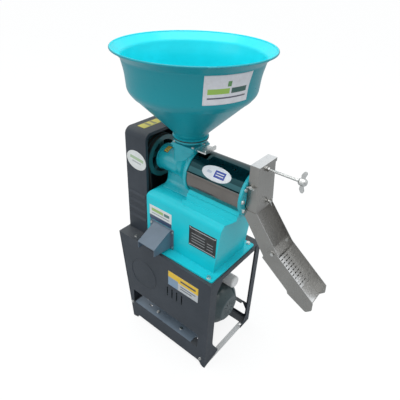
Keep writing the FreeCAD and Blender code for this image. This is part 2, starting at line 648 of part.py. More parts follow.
def head_casting():
    """Bearing tube, flare, chamber flange, feed box and pedestal in one casting."""
    outer = [(-108, 0), (-108, 46), (-24, 46), (8, 54), (32, 74), (38, 74), (38, 79.5), (48, 79.5), (48, 0)]
    shell = turned_x(outer, [0, 2, 30, 30, 4, 1, 2, 2, 0])
    feed = prism([(-44, -40), (44, -40), (44, 40), (-44, 40)], 12, "xy", (SHAFT_Z + 20, GATE_Z))
    feed = feed.cut(box((38, 60), (-100, 100), (0, SHAFT_Z + 82)))
    lip = prism([(-48, -43), (48, -43), (48, 43), (-48, 43)], 12, "xy", (GATE_Z - 8, GATE_Z))
    foot = [(-48, BODY_TOP), (48, BODY_TOP), (48, BODY_TOP + 7), (24, BODY_TOP + 22), (20, 715), (-20, 715),
            (-24, BODY_TOP + 22), (-48, BODY_TOP + 7)]
    pedestal = prism(foot, [1, 1, 2, 24, 0, 0, 24, 2], "yz", (-80, 34))
    casting = fuse([shell, feed, lip, pedestal])
    tools = [rod_x(BEARING_R, -109, -28), rod_x(20.0, -30, -20), rod_x(40.0, -24, 49),
             rod(BORE_R, (0, 0, SHAFT_Z), (0, 0, GATE_Z + 1))]
    tools += [rod_x(2.55, -109, -98, 41 * math.cos(a), SHAFT_Z + 41 * math.sin(a)) for a in cap_angles()]
    tools += [bolt_hole((x, y, GATE_Z + 12), (0, 0, 1), 28, 5.0) for x, y in THROAT_BOLTS]
    return cut(casting, tools)


def cap_angles():
    return [math.radians(45 + 360 * i / CAP_SCREWS) for i in range(CAP_SCREWS)]


def bearing_cap():
    """The round cover over the left bearing, with its raised rim."""
    points = [(-108, 18), (-108, 48), (-113, 48), (-113, 30), (-115, 28), (-115, 18)]
    cap = turned_x(points, [0, 1, 2, 3, 1, 0])
    return cut(cap, [rod_x(2.6, -120, -100, 41 * math.cos(a), SHAFT_Z + 41 * math.sin(a)) for a in cap_angles()])


def cap_screws():
    return Part.makeCompound([bolt((-113, 41 * math.cos(a), SHAFT_Z + 41 * math.sin(a)), (-1, 0, 0), 14, size=5.0,
                                   nut=False) for a in cap_angles()])


def bearing(x0, x1):
    """A ball bearing seen as its two rings joined by the shield, grooved between them."""
    bore = SEAT_R + RUN
    points = [(x0, bore), (x0, 23), (x0 + 1, 24), (x0 + 1, 30), (x0, 31), (x0, BEARING_R), (x1, BEARING_R),
              (x1, 31), (x1 - 1, 30), (x1 - 1, 24), (x1, 23), (x1, bore)]
    return turned_x(points)


def main_shaft():
    """Stepped shaft with a threaded nose on the left and a tail under the roller's nut."""
    points = [(-176, 0), (-176, 9), (-174, 10), (-156, 10), (-156, 14), (-108, 14), (-108, SEAT_R), (-27, SEAT_R),
              (-27, SHAFT_R), (240, SHAFT_R), (240, 9), (252, 9), (252, 0)]
    return turned_x(points)


def shaft_nuts():
    left = hexagon(30, 12, (-168, 0, SHAFT_Z), (1, 0, 0)).cut(rod_x(10.0, -180, -150))
    washer = ring_x(19.0, 14.0, -156, -153).fuse(ring_x(19.0, 10.0, -157, -156))
    right = hexagon(28, 9, (241, 0, SHAFT_Z), (1, 0, 0)).cut(rod_x(9.0, 230, 260))
    return Part.makeCompound([left, washer, right])


def feed_screw():
    """A hub with one helical flight that pushes the paddy into the chamber."""
    x0 = -20.0
    length = 68.0
    pitch = 34.0
    flight_r = 38.0
    hub_r = 22.0
    turns = length - 6.0
    helix = Part.makeHelix(pitch, turns, hub_r)
    profile = Part.makePolygon([Vector(hub_r - 2, 0, 0), Vector(flight_r, 0, 1.2), Vector(flight_r, 0, 4.2),
                                Vector(hub_r - 2, 0, 6), Vector(hub_r - 2, 0, 0)])
    flight = Part.Wire(helix).makePipeShell([profile], True, True)
    hub = Part.makeCylinder(hub_r, length)
    screw = hub.fuse(flight).common(Part.makeCylinder(flight_r, length))
    screw.Placement = FreeCAD.Placement(Vector(x0, 0, SHAFT_Z), FreeCAD.Rotation(Vector(0, 0, 1), Vector(1, 0, 0)))
    return screw.cut(rod_x(SHAFT_R, -60, 80))


def hulling_roller():
    """A drum with six raised ribs; the ribs lean round the drum so that they drive the rice on."""
    drum = ring_x(32.0, SHAFT_R, 48.0, 240.0)
    half = 3.5
    inner = 31.0
    ribs = []
    for i in range(6):
        sections = []
        for x, turn in ((49.0, 0.0), (144.0, 14.0), (239.0, 28.0)):
            corners = [Vector(x, -half, SHAFT_Z + inner), Vector(x, half, SHAFT_Z + inner),
                       Vector(x, half - 1, SHAFT_Z + ROLLER_R), Vector(x, -half + 1, SHAFT_Z + ROLLER_R)]
            wire = Part.makePolygon(corners + corners[:1])
            wire.rotate(Vector(0, 0, SHAFT_Z), Vector(1, 0, 0), turn + 60 * i)
            sections.append(wire)
        ribs.append(Part.makeLoft(sections, True, False))
    return fuse([drum] + ribs)


def rice_screen():
    """A slotted tube round the roller; bran leaves through the slots of its lower half."""
    tube = ring_x(SCREEN_R + 1.2, SCREEN_R, CHAMBER_X[0], CHAMBER_X[1])
    slots = []
    for i in range(7):
        for k in range(8):
            x = CHAMBER_X[0] + 14 + 24.5 * i + 6 * (k % 2)
            slot = box((x, x + 14), (-1.0, 1.0), (SHAFT_Z - SCREEN_R - 5, SHAFT_Z - SCREEN_R + 5))
            slot.rotate(Vector(0, 0, SHAFT_Z), Vector(1, 0, 0), -73.5 + 21 * k)
            slots.append(slot)
    return cut(tube, slots)


def chamber_shell(z0, z1):
    x0, x1 = CHAMBER_X
    whole = ring_x(COVER_R, COVER_R - COVER_T, x0, x1)
    return whole.common(box((x0 - 1, x1 + 1), (-100, 100), (z0, z1)))


SEAM_Z = 774.0
LIP_HALF = 75.0


def seam_lips(z0, z1):
    x0, x1 = CHAMBER_X
    inner = math.sqrt((COVER_R - COVER_T) ** 2 - (SEAM_Z - SHAFT_Z) ** 2)
    return [box((x0, x1), (min(side * inner, side * LIP_HALF), max(side * inner, side * LIP_HALF)), (z0, z1))
            for side in (-1, 1)]


def chamber_cover():
    """The polished cover with its two narrow lips and three small vent holes."""
    cover = fuse([chamber_shell(SEAM_Z, SHAFT_Z + COVER_R + 1)] + seam_lips(SEAM_Z, SEAM_Z + COVER_T))
    lean = math.radians(22)
    outward = Vector(0, -math.sin(lean), math.cos(lean))
    holes = []
    for x in (103.0, 151.0, 199.0):
        base = Vector(x, 0, SHAFT_Z) + outward * (COVER_R - 8)
        holes.append(Part.makeCylinder(3.2, 16, base, outward))
    return cut(cover, holes)


def chamber_side_plates():
    """The two curved plates below the seam, standing on the saddle."""
    plates = []
    for shell in chamber_shell(SADDLE_TOP, SEAM_Z).Solids:
        lips = seam_lips(SEAM_Z - COVER_T, SEAM_Z)
        plates.append(fuse([shell, lips[0] if shell.CenterOfMass.y < 0 else lips[1]]))
    return Part.makeCompound(plates)


RING_BOLT_R = 70.0
RING_ANGLES = (148.0, 180.0, 212.0, -32.0, 0.0, 32.0)


def ring_bolt_points():
    return [(RING_BOLT_R * math.cos(math.radians(a)), SHAFT_Z + RING_BOLT_R * math.sin(math.radians(a)))
            for a in RING_ANGLES]


def end_ring():
    """The cast ring that closes the chamber and carries the outlet box."""
    x0, x1 = RING_X
    points = [(x0, SCREEN_R), (x0, 77), (x0 + 2, RING_R), (x1 - 2, RING_R), (x1, 77), (x1, 58), (x1 - 4, 56),
              (x1 - 4, 50), (x1, 48), (x1, SCREEN_R)]
    ring = turned_x(points)
    return cut(ring, [rod_x(3.05, x0 - 1, x1 + 1, y, z) for y, z in ring_bolt_points()])


def ring_bolts():
    x0, x1 = RING_X
    return Part.makeCompound([bolt((x1, y, z), (1, 0, 0), x1 - x0, nut=False) for y, z in ring_bolt_points()])


# ---------------------------------------------------------------- feed throat, gate and hopper

THROAT_BOLTS = [(x, y) for x in (-38.0, 38.0) for y in (-34.0, 34.0)]
THROAT_FLANGE_T = 4.0
GATE_HALF = 28.5
DISC_T = 6.0
STUD_R = 3.0


def stud_holes(z0, z1):
    return [rod(STUD_R + RUN, (s * STUD_X, 0, z0), (s * STUD_X, 0, z1)) for s in (-1, 1)]


def feed_throat():
    """The neck between gate and hopper: two rails, a square flange, a tube and a round flange."""
    rails = [box((-48, 48), (min(s * GATE_HALF, s * 43), max(s * GATE_HALF, s * 43)), (GATE_Z, GATE_Z + GATE_SLOT))
             for s in (-1, 1)]
    z = GATE_Z + GATE_SLOT
    top = z + THROAT_FLANGE_T
    flange = prism([(-48, -43), (48, -43), (48, 43), (-48, 43)], 10, "xy", (z, top))
    neck = rod(NECK_R, (0, 0, z), (0, 0, NECK_TOP))
    disc = rod(58.0, (0, 0, NECK_TOP - DISC_T), (0, 0, NECK_TOP))
    tools = [rod(BORE_R, (0, 0, z - 1), (0, 0, NECK_TOP + 1))]
    tools += stud_holes(NECK_TOP - DISC_T - 1, NECK_TOP + 1)
    tools += [bolt_hole((x, y, top), (0, 0, 1), 30, 5.0) for x, y in THROAT_BOLTS]
    return cut(fuse(rails + [flange, neck, disc]), tools)


def throat_bolts():
    z = GATE_Z + GATE_SLOT + THROAT_FLANGE_T
    return Part.makeCompound([bolt((x, y, z), (0, 0, 1), GATE_SLOT + 20, size=5.0, nut=False)
                              for x, y in THROAT_BOLTS])


def feed_gate():
    """The slide that shuts the throat; its end is bent up over the chamber as a handle."""
    half = GATE_HALF - 0.5
    z0 = GATE_Z + 0.6
    plate = prism([(-31, -half), (86, -half), (86, half), (-31, half)], [8, 0, 0, 8], "xy", (z0, z0 + 4.5))
    handle = prism([(-half, z0), (half, z0), (half, z0 + 15), (-half, z0 + 15)], [0, 0, 5, 5], "yz", (83, 86))
    return fuse([plate, handle])


def hopper():
    """Sheet funnel: base ring with studs, collar, cone lapped into a spun bowl, flared lip, rolled rim."""
    z = HOPPER_Z
    outer = [(BORE_R, z), (60, z), (60, z + 3), (52, z + 3), (64, 884), (185, 1003), (186.6, 1003), (201, 1021),
             (206, 1075), (217, 1118), (RIM_R, RIM_Z)]
    inner = [(RIM_R - 1, RIM_Z + 1.2), (215.2, 1119), (204.5, 1075.5), (199.5, 1022), (185, 1005), (62.6, 885.4),
             (50, z + 3), (BORE_R, z + 3)]
    radii = [0, 1, 1, 0, 12, 0, 0, 34, 220, 14, 0, 0, 15.5, 218, 32, 0, 12, 2, 0]
    bowl = turned_z(outer + inner, radii)
    roll = Part.makeTorus(RIM_R, 3.0, Vector(0, 0, RIM_Z), Vector(0, 0, 1))
    studs = [rod(STUD_R, (s * STUD_X, 0, NECK_TOP - 21), (s * STUD_X, 0, z + 1)) for s in (-1, 1)]
    return fuse([bowl, roll] + studs)


def hopper_gasket():
    ring = rod(60.0, (0, 0, NECK_TOP), (0, 0, HOPPER_Z))
    tools = [rod(BORE_R, (0, 0, NECK_TOP - 1), (0, 0, HOPPER_Z + 1))] + stud_holes(NECK_TOP - 1, HOPPER_Z + 1)
    return cut(ring, tools)


def hopper_wing_nuts():
    z = NECK_TOP - DISC_T
    nuts = [wing_nut((s * STUD_X, 0, z), (0, 0, -1), 24.0, 6.0) for s in (-1, 1)]
    bores = [rod(STUD_R, (s * STUD_X, 0, z - 40), (s * STUD_X, 0, z + 1)) for s in (-1, 1)]
    return Part.makeCompound([nut.cut(bore) for nut, bore in zip(nuts, bores)])


# ---------------------------------------------------------------- outlet box and chutes

def box_profile(inset=0.0):
    """The outlet box seen from the front; its outer wall leans out toward the bottom."""
    x0, x_top, x_low = BOX_X
    z0, z1 = BOX_Z
    return [(x0 + inset, z0 - inset), (x_low - inset, z0 - inset), (x_top - inset, z1 - inset), (x0 + inset, z1 - inset)]


def wall_x(z):
    """Outer wall of the outlet box at a height."""
    share = (BOX_Z[1] - z) / (BOX_Z[1] - BOX_Z[0])
    return BOX_X[1] + (BOX_X[2] - BOX_X[1]) * share


SIDE_SCREW = (275.0, 797.0)
FRONT_SCREW = (17.0, 729.0)


def outlet_box():
    """A shallow steel box over the outlet, open below, with the pressure screw's nut."""
    half = BOX_HALF_Y
    outer = prism(box_profile(), 0, "xz", (-half, half))
    inner = prism(box_profile(STEEL), 0, "xz", (-half + STEEL, half - STEEL))
    below = box((BOX_X[0] + STEEL, BOX_X[2] - STEEL), (-half + STEEL, half - STEEL), (BOX_Z[0] - 5, BOX_Z[0] + 1))
    nut_x = wall_x(SCREW_Z)
    nut = hexagon(13, 8, (nut_x - 0.4, 0, SCREW_Z), (1, 0, 0))
    shell = fuse([cut(outer, [inner, below]), nut])
    tools = [rod_x(SCREEN_R, 255, 270), rod(4.3, (270, 0, SCREW_Z), (310, 0, SCREW_Z))]
    tools.append(rod(3.05, (SIDE_SCREW[0], -60, SIDE_SCREW[1]), (SIDE_SCREW[0], -40, SIDE_SCREW[1])))
    tools.append(rod(3.05, (285, FRONT_SCREW[0], FRONT_SCREW[1]), (310, FRONT_SCREW[0], FRONT_SCREW[1])))
    return cut(shell, tools)


def box_lid():
    """A folded lid whose front lip hangs over the outer wall."""
    z = BOX_Z[1]
    x1 = BOX_X[1] + 3.4
    half = BOX_HALF_Y + STEEL
    top = box((BOX_X[0], x1), (-half, half), (z, z + STEEL))
    lip = box((x1 - STEEL, x1), (-half, half), (z - 11, z + STEEL))
    ends = [box((BOX_X[0], x1), (min(s * BOX_HALF_Y, s * half), max(s * BOX_HALF_Y, s * half)), (z - 7, z)) for s in (-1, 1)]
    return fuse([top, lip] + ends)


def box_wing_screws():
    """One wing screw in the near side and one in the outer wall."""
    x, z = SIDE_SCREW
    near = fuse([rod(3.0, (x, -54, z), (x, -46.2, z)), wing_nut((x, -BOX_HALF_Y, z), (0, -1, 0))])
    y, z = FRONT_SCREW
    wall = wall_x(z) + 0.7
    lean = Vector(BOX_Z[1] - BOX_Z[0], 0, BOX_X[2] - BOX_X[1]).normalize()
    outer = fuse([rod(3.0, (wall - 5, y, z), (wall + 6, y, z)), wing_nut((wall, y, z), (1, 0, 0))])
    return Part.makeCompound([near, outer])


def pressure_plate():
    """The plate that throttles the outlet; it slides with the screw inside the box."""
    x0 = BOX_X[0] + 3.0
    plate = prism([(-45, 722), (45, 722), (45, 858), (-45, 858)], [8, 8, 3, 3], "yz", (x0, x0 + 2.5))
    boss = rod_x(9.0, x0 + 2, x0 + 8, 0, SCREW_Z)
    return fuse([plate, boss])


def pressure_screw():
    """The long threaded rod with a round hub and two bent wings."""
    x0 = BOX_X[0] + 11.0
    shank = rod_x(4.0, x0, 396.0, 0, SCREW_Z)
    hub = turned_x([(390, 0), (390, 8), (394, 11), (408, 11), (413, 7), (413, 0)], [0, 1, 2, 3, 1, 0], 0, SCREW_Z)
    wing = [(4, -5), (22, -7), (32, -1), (34, 7), (27, 10), (16, 6), (4, 6)]
    wings = []
    for side in (-1, 1):
        blade = prism([(401 + v * 0.9, SCREW_Z + side * u) for u, v in wing], [0, 6, 5, 3, 4, 6, 0], "xz", (-2.5, 2.5))
        wings.append(blade)
    return fuse([shank, hub] + wings)


UPPER_HEAD = [(BOX_X[0], 690.0), (BOX_X[0], BOX_Z[0]), (BOX_X[2], BOX_Z[0]), (298.0, 704.0)]
UPPER_END = [(394.0, 599.0), (350.0, 567.0)]


def upper_chute():
    """A steel channel welded on below the box; its open end is drilled for the pivot."""
    outline = [UPPER_HEAD[1], UPPER_HEAD[2], (302.0, 712.0)] + UPPER_END + [UPPER_HEAD[0]]
    half = BOX_HALF_Y
    walls = [prism(outline, [0, 0, 3, 5, 1, 4], "xz", (min(s * half, s * (half - STEEL)), max(s * half, s * (half - STEEL))))
             for s in (-1, 1)]
    start = Vector(UPPER_HEAD[0][0], 0, UPPER_HEAD[0][1])
    end = Vector(UPPER_END[1][0], 0, UPPER_END[1][1])
    run = (end - start).normalize()
    end = end - run * 4
    up = Vector(-run.z, 0, run.x)
    strip = [start, end, end + up * STEEL, start + up * STEEL]
    floor = prism([(p.x, p.z) for p in strip], 0, "xz", (-half, half))
    back = box((BOX_X[0], BOX_X[0] + STEEL), (-half, half), (690, BOX_Z[0]))
    chute = fuse(walls + [floor, back])
    return chute.cut(rod(3.05, (PIVOT[0], -60, PIVOT[1]), (PIVOT[0], 60, PIVOT[1])))


LOWER_HALF = BOX_HALF_Y + 0.4
DROP = Vector(134.0, 0, -104.0).normalize()
LIFT = Vector(-DROP.z, 0, DROP.x)


def lower_chute():
    """The swinging end of the chute: two side plates, a floor, a step and a lip."""
    wall = [(342, 569.6), (352, 592), (366, 611), (384, 607), (391, 602), (525, 498), (527, 468), (510, 450),
            (444, 483), (440, 493.5)]
    radii = [1, 8, 12, 10, 12, 6, 9, 9, 4, 6]
    outer = LOWER_HALF + STEEL
    walls = [prism(wall, radii, "xz", (min(s * LOWER_HALF, s * outer), max(s * LOWER_HALF, s * outer))) for s in (-1, 1)]
    start = Vector(345.3, 0, 568.3)
    end = start + DROP * 119
    strip = [start, end, end + LIFT * STEEL, start + LIFT * STEEL]
    floor = prism([(p.x, p.z) for p in strip], 0, "xz", (-LOWER_HALF - 0.4, LOWER_HALF + 0.4))
    lip = prism([(445, 482.5), (510, 450.4), (513, 453.4), (512.3, 454.6), (509.8, 452.0), (445, 484.0)], 0, "xz",
                (-LOWER_HALF - 0.4, LOWER_HALF + 0.4))
    bore = rod(3.05, (PIVOT[0], -60, PIVOT[1]), (PIVOT[0], 60, PIVOT[1]))
    return fuse(walls + [floor, lip]).cut(bore)


def chute_screen():
    """A slotted plate above the floor that lets broken grain and bran drop away."""
    foot = Vector(PIVOT[0], 0, PIVOT[1]) - LIFT * 29
    start = foot + DROP * 31
    length = 112.0
    end = start + DROP * length
    strip = [start, end, end + LIFT * STEEL, start + LIFT * STEEL]
    half = LOWER_HALF - 0.2
    plate = prism([(p.x, p.z) for p in strip], 0, "xz", (-half, half))
    flanges = []
    for side in (-1, 1):
        edge = [start, end, end + LIFT * 7, start + LIFT * 7]
        flanges.append(prism([(p.x, p.z) for p in edge], 0, "xz",
                             (min(side * half, side * (half - STEEL)), max(side * half, side * (half - STEEL)))))
    slots = []
    for i in range(9):
        for k in range(5):
            middle = start + DROP * (9 + 11.6 * i)
            y = -32 + 16.0 * k
            bar = box((-1.6, 1.6), (y - 5.5, y + 5.5), (-5, 5))
            bar.rotate(Vector(0, 0, 0), Vector(0, 1, 0), math.degrees(math.atan2(-DROP.z, DROP.x)))
            bar.translate(middle)
            slots.append(bar)
    return cut(fuse([plate] + flanges), slots)


def chute_pivot_bolts():
    """The two bolts that the lower chute swings on, clamped by wing nuts inside."""
    x, z = PIVOT
    outer = LOWER_HALF + STEEL
    bolts = []
    for side in (-1, 1):
        head = hexagon(10, 4, (x, side * (outer + 0.4), z), (0, side, 0))
        shank = rod(3.0, (x, side * (outer + 0.5), z), (x, side * (BOX_HALF_Y - 8), z))
        nut = hexagon(10, 5, (x, side * (BOX_HALF_Y - STEEL), z), (0, -side, 0))
        bolts.append(fuse([head, shank, nut]))
    return Part.makeCompound(bolts)


# ---------------------------------------------------------------- every node by name

NODES = {
    "front_panel": front_panel(),
    "back_panel": back_panel(),
    "top_rail_right": top_rail((221.0, 223.0), (188.0, 223.0)),
    "top_rail_left": top_rail((-218.5, -216.5), (-218.5, -192.0)),
    "motor_shelf": motor_shelf(),
    "foot_tie_left": foot_tie(LEFT_TIE_X),
    "foot_tie_right": foot_tie(RIGHT_TIE_X),
    "stand_bolts": stand_bolts(),
    "motor_frame": motor_frame(),
    "motor_foot_bolts": motor_foot_bolts(),
    "motor_stator": stator(),
    "motor_drive_shield": end_shield(MOTOR_X[0], -1),
    "motor_fan_shield": end_shield(MOTOR_X[1], 1),
    "motor_bearings": Part.makeCompound([motor_bearing(MOTOR_X[0], -1), motor_bearing(MOTOR_X[1], 1)]),
    "motor_shaft": motor_shaft(),
    "motor_rotor": motor_rotor(),
    "motor_fan": motor_fan(),
    "fan_cowl": fan_cowl(),
    "capacitor": capacitor(),
    "capacitor_saddle": capacitor_saddle(),
    "terminal_box": terminal_box(),
    "cable_gland": cable_gland(),
    "motor_pulley": motor_pulley(),
    "driven_pulley": driven_pulley(),
    "drive_belts": Part.makeCompound([drive_belt(x) for x in BELT_X]),
    "belt_guard": belt_guard(),
    "bran_housing": bran_housing(),
    "body_bolts": body_bolts(),
    "bran_slide": bran_slide(),
    "bran_chute": bran_chute(),
    "bran_chute_bolts": bran_chute_bolts(),
    "head_casting": head_casting(),
    "bearing_cap": bearing_cap(),
    "head_screws": Part.makeCompound(cap_screws().Solids + throat_bolts().Solids),
    "bearing_left": bearing(*BEARING_X[0]),
    "bearing_right": bearing(*BEARING_X[1]),
    "main_shaft": main_shaft(),
    "shaft_nuts": shaft_nuts(),
    "feed_screw": feed_screw(),
    "hulling_roller": hulling_roller(),
    "rice_screen": rice_screen(),
    "chamber_cover": chamber_cover(),
    "chamber_side_plates": chamber_side_plates(),
    "end_ring": end_ring(),
    "ring_bolts": ring_bolts(),
    "feed_throat": feed_throat(),
    "feed_gate": feed_gate(),
    "hopper": hopper(),
    "hopper_gasket": hopper_gasket(),
    "hopper_wing_nuts": hopper_wing_nuts(),
    "outlet_box": outlet_box(),
    "box_lid": box_lid(),
    "box_wing_screws": box_wing_screws(),
    "pressure_plate": pressure_plate(),
    "pressure_screw": pressure_screw(),
    "upper_chute": upper_chute(),
    "lower_chute": lower_chute(),
    "chute_screen": chute_screen(),
    "chute_pivot_bolts": chute_pivot_bolts(),
}


def save(name, shape):
    shape.translate(Vector(-ORIGIN_X, 0, 0))
    shape.exportStep("parts/" + name + ".step")


for node_name, node_shape in NODES.items():
    save(node_name, node_shape)
print("origin lies at x", round(ORIGIN_X, 3), "from the stand's middle;", len(NODES), "nodes")
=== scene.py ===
import math
import bpy
import bmesh
from mathutils import Matrix, Vector
from mathutils.bvhtree import BVHTree


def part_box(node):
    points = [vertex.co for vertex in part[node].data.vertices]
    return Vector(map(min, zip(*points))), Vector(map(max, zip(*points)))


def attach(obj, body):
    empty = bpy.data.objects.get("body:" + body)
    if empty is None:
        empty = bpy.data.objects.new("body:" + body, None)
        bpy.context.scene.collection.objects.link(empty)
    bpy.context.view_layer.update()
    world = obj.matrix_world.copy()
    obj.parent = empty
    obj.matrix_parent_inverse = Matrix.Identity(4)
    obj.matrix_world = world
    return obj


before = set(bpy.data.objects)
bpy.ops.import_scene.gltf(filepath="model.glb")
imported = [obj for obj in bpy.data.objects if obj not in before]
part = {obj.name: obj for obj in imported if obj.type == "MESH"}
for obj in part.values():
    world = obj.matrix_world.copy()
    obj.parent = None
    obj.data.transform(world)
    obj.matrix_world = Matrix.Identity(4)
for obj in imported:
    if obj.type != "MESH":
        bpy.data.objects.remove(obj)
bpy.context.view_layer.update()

# ---------------------------------------------------------------- viewpoint
# A person stands in front of the machine's right-hand corner and looks down on it from about
# head height. The camera is turned a little about its own line of sight, as a hand-held one is.
yaw, pitch, roll = 0.689, -0.548, 0.030
ahead = Vector((-math.sin(yaw) * math.cos(pitch), math.cos(yaw) * math.cos(pitch), math.sin(pitch)))
level = Vector((math.cos(yaw), math.sin(yaw), 0))
upright = level.cross(ahead)
across = level * math.cos(roll) + upright * math.sin(roll)
above = upright * math.cos(roll) - level * math.sin(roll)
camera = bpy.data.objects.new("camera", bpy.data.cameras.new("camera"))
camera.matrix_world = Matrix.Translation((0.7159, -0.9239, 1.3816)) @ Matrix(
    (across, above, -ahead)).transposed().to_4x4()
camera.data.lens = 35.23
camera.data.shift_x = 0.0368
camera.data.shift_y = -0.0298
bpy.context.scene.collection.objects.link(camera)
bpy.context.scene.camera = camera

# ---------------------------------------------------------------- floor and light
# A white studio floor that runs out of sight. Soft boxes above and in front light the machine,
# and the room is bright overhead and greyer toward the horizon. The eye sees both as white.
scene = bpy.context.scene
scene.view_settings.view_transform = "Standard"


def add_node(tree, kind, **values):
    """A shader or geometry node; a value goes to the socket or property of that name."""
    made = tree.nodes.new(kind)
    for key, value in values.items():
        socket = made.inputs.get(key.replace("_", " "))
        if socket is not None:
            socket.default_value = value
        else:
            setattr(made, key, value)
    return made


world = bpy.data.worlds.new("room")
scene.world = world
world.use_nodes = True
room = world.node_tree
room.nodes.clear()
direction = add_node(room, "ShaderNodeTexCoord")
height = add_node(room, "ShaderNodeSeparateXYZ")
sky = add_node(room, "ShaderNodeMapRange", From_Min=-0.1, From_Max=0.9, To_Min=0.34, To_Max=1.15)
lit = add_node(room, "ShaderNodeBackground", Color=(0.95, 0.98, 1.0, 1))
white = add_node(room, "ShaderNodeBackground", Color=(1, 1, 1, 1), Strength=1.02)
rays = add_node(room, "ShaderNodeLightPath")
blend = add_node(room, "ShaderNodeMixShader")
world_out = add_node(room, "ShaderNodeOutputWorld")
room.links.new(direction.outputs["Generated"], height.inputs[0])
room.links.new(height.outputs["Z"], sky.inputs["Value"])
room.links.new(sky.outputs[0], lit.inputs["Strength"])
room.links.new(rays.outputs["Is Camera Ray"], blend.inputs[0])
room.links.new(lit.outputs[0], blend.inputs[1])
room.links.new(white.outputs[0], blend.inputs[2])
room.links.new(blend.outputs[0], world_out.inputs[0])


def soft_box(name, place, aim, size, watts):
    lamp = bpy.data.lights.new(name, "AREA")
    lamp.shape = "RECTANGLE"
    lamp.size, lamp.size_y = size
    lamp.energy = watts
    holder = bpy.data.objects.new(name, lamp)
    place = Vector(place)
    turned = (Vector(aim) - place).to_track_quat("-Z", "Y").to_matrix().to_4x4()
    holder.matrix_world = Matrix.Translation(place) @ turned
    scene.collection.objects.link(holder)


soft_box("overhead", (0.1, -0.3, 3.6), (0, 0, 0.6), (3.2, 2.6), 62)
soft_box("front_fill", (-1.6, -3.0, 1.6), (0, 0, 0.6), (2.2, 2.0), 14)

floor_mesh = bpy.data.meshes.new("floor")
floor_mesh.from_pydata([(-30, -30, 0), (30, -30, 0), (30, 30, 0), (-30, 30, 0)], [], [(0, 1, 2, 3)])
floor = bpy.data.objects.new("floor", floor_mesh)
scene.collection.objects.link(floor)
paper = bpy.data.materials.new("white_floor")
paper.use_nodes = True
tree = paper.node_tree
tree.nodes.clear()
matt = add_node(tree, "ShaderNodeBsdfDiffuse", Color=(0.90, 0.91, 0.91, 1))
glow = add_node(tree, "ShaderNodeEmission", Color=(1, 1, 1, 1), Strength=1.02)
seen = add_node(tree, "ShaderNodeMixShader", Fac=0.84)
dim = add_node(tree, "ShaderNodeBsdfDiffuse", Color=(0.50, 0.51, 0.52, 1))
rays = add_node(tree, "ShaderNodeLightPath")
blend = add_node(tree, "ShaderNodeMixShader")
surface = add_node(tree, "ShaderNodeOutputMaterial")
tree.links.new(matt.outputs[0], seen.inputs[1])
tree.links.new(glow.outputs[0], seen.inputs[2])
tree.links.new(rays.outputs["Is Camera Ray"], blend.inputs[0])
tree.links.new(dim.outputs[0], blend.inputs[1])
tree.links.new(seen.outputs[0], blend.inputs[2])
tree.links.new(blend.outputs[0], surface.inputs[0])
floor_mesh.materials.append(paper)

# ---------------------------------------------------------------- stand
# Two pressed panels of 2 mm sheet with folded legs and two rails, powder coated dark grey, and two pale
# grey floor bars, all bolted up with zinc-plated screws. The motor shelf is a lighter slate grey.


def edge_mask(tree, radius):
    """1 along worn outside corners, 0 on flats: the rounded normal set against the true one."""
    rounded = add_node(tree, "ShaderNodeBevel", samples=4, Radius=radius)
    plain = add_node(tree, "ShaderNodeNewGeometry")
    facing = add_node(tree, "ShaderNodeVectorMath", operation="DOT_PRODUCT")
    tree.links.new(rounded.outputs[0], facing.inputs[0])
    tree.links.new(plain.outputs["Normal"], facing.inputs[1])
    ramp = add_node(tree, "ShaderNodeMapRange", From_Min=0.995, From_Max=0.93, To_Min=0.0, To_Max=1.0)
    tree.links.new(facing.outputs["Value"], ramp.inputs["Value"])
    return ramp.outputs[0], rounded.outputs[0]


def new_shader(name):
    mat = bpy.data.materials.new(name)
    mat.use_nodes = True
    tree = mat.node_tree
    return mat, tree, tree.nodes["Principled BSDF"], add_node(tree, "ShaderNodeTexCoord").outputs["Object"]


def upward(tree, low, high, most):
    """Grows from 0 to most as a face turns to look up. paint() breaks it by noise for settled dust; metal()
    uses it unbroken for a painted highlight on up-facing faces.
    """
    plain = add_node(tree, "ShaderNodeNewGeometry")
    split = add_node(tree, "ShaderNodeSeparateXYZ")
    tree.links.new(plain.outputs["Normal"], split.inputs[0])
    ramp = add_node(tree, "ShaderNodeMapRange", From_Min=low, From_Max=high, To_Min=0.0, To_Max=most)
    tree.links.new(split.outputs["Z"], ramp.inputs["Value"])
    return ramp.outputs[0]


def times(tree, first, second):
    product = add_node(tree, "ShaderNodeMath", operation="MULTIPLY")
    tree.links.new(first, product.inputs[0])
    tree.links.new(second, product.inputs[1])
    return product.outputs[0]


def mixed(tree, share, base, over):
    """A colour laid over another by a share; over is a plain colour."""
    mix = add_node(tree, "ShaderNodeMix", data_type="RGBA")
    tree.links.new(share, mix.inputs[0])
    tree.links.new(base, mix.inputs[6])
    mix.inputs[7].default_value = (*over, 1)
    return mix.outputs[2]


def cloudy(tree, where, size, dark, light):
    """A noise that drifts between two close shades of one colour."""
    cloud = add_node(tree, "ShaderNodeTexNoise", Scale=size, Detail=5.0, Roughness=0.6)
    tree.links.new(where, cloud.inputs["Vector"])
    shades = add_node(tree, "ShaderNodeValToRGB")
    for stop, position, colour in zip(shades.color_ramp.elements, (0.32, 0.70), (dark, light)):
        stop.position = position
        stop.color = (*colour, 1)
    tree.links.new(cloud.outputs[0], shades.inputs[0])
    return shades.outputs[0]


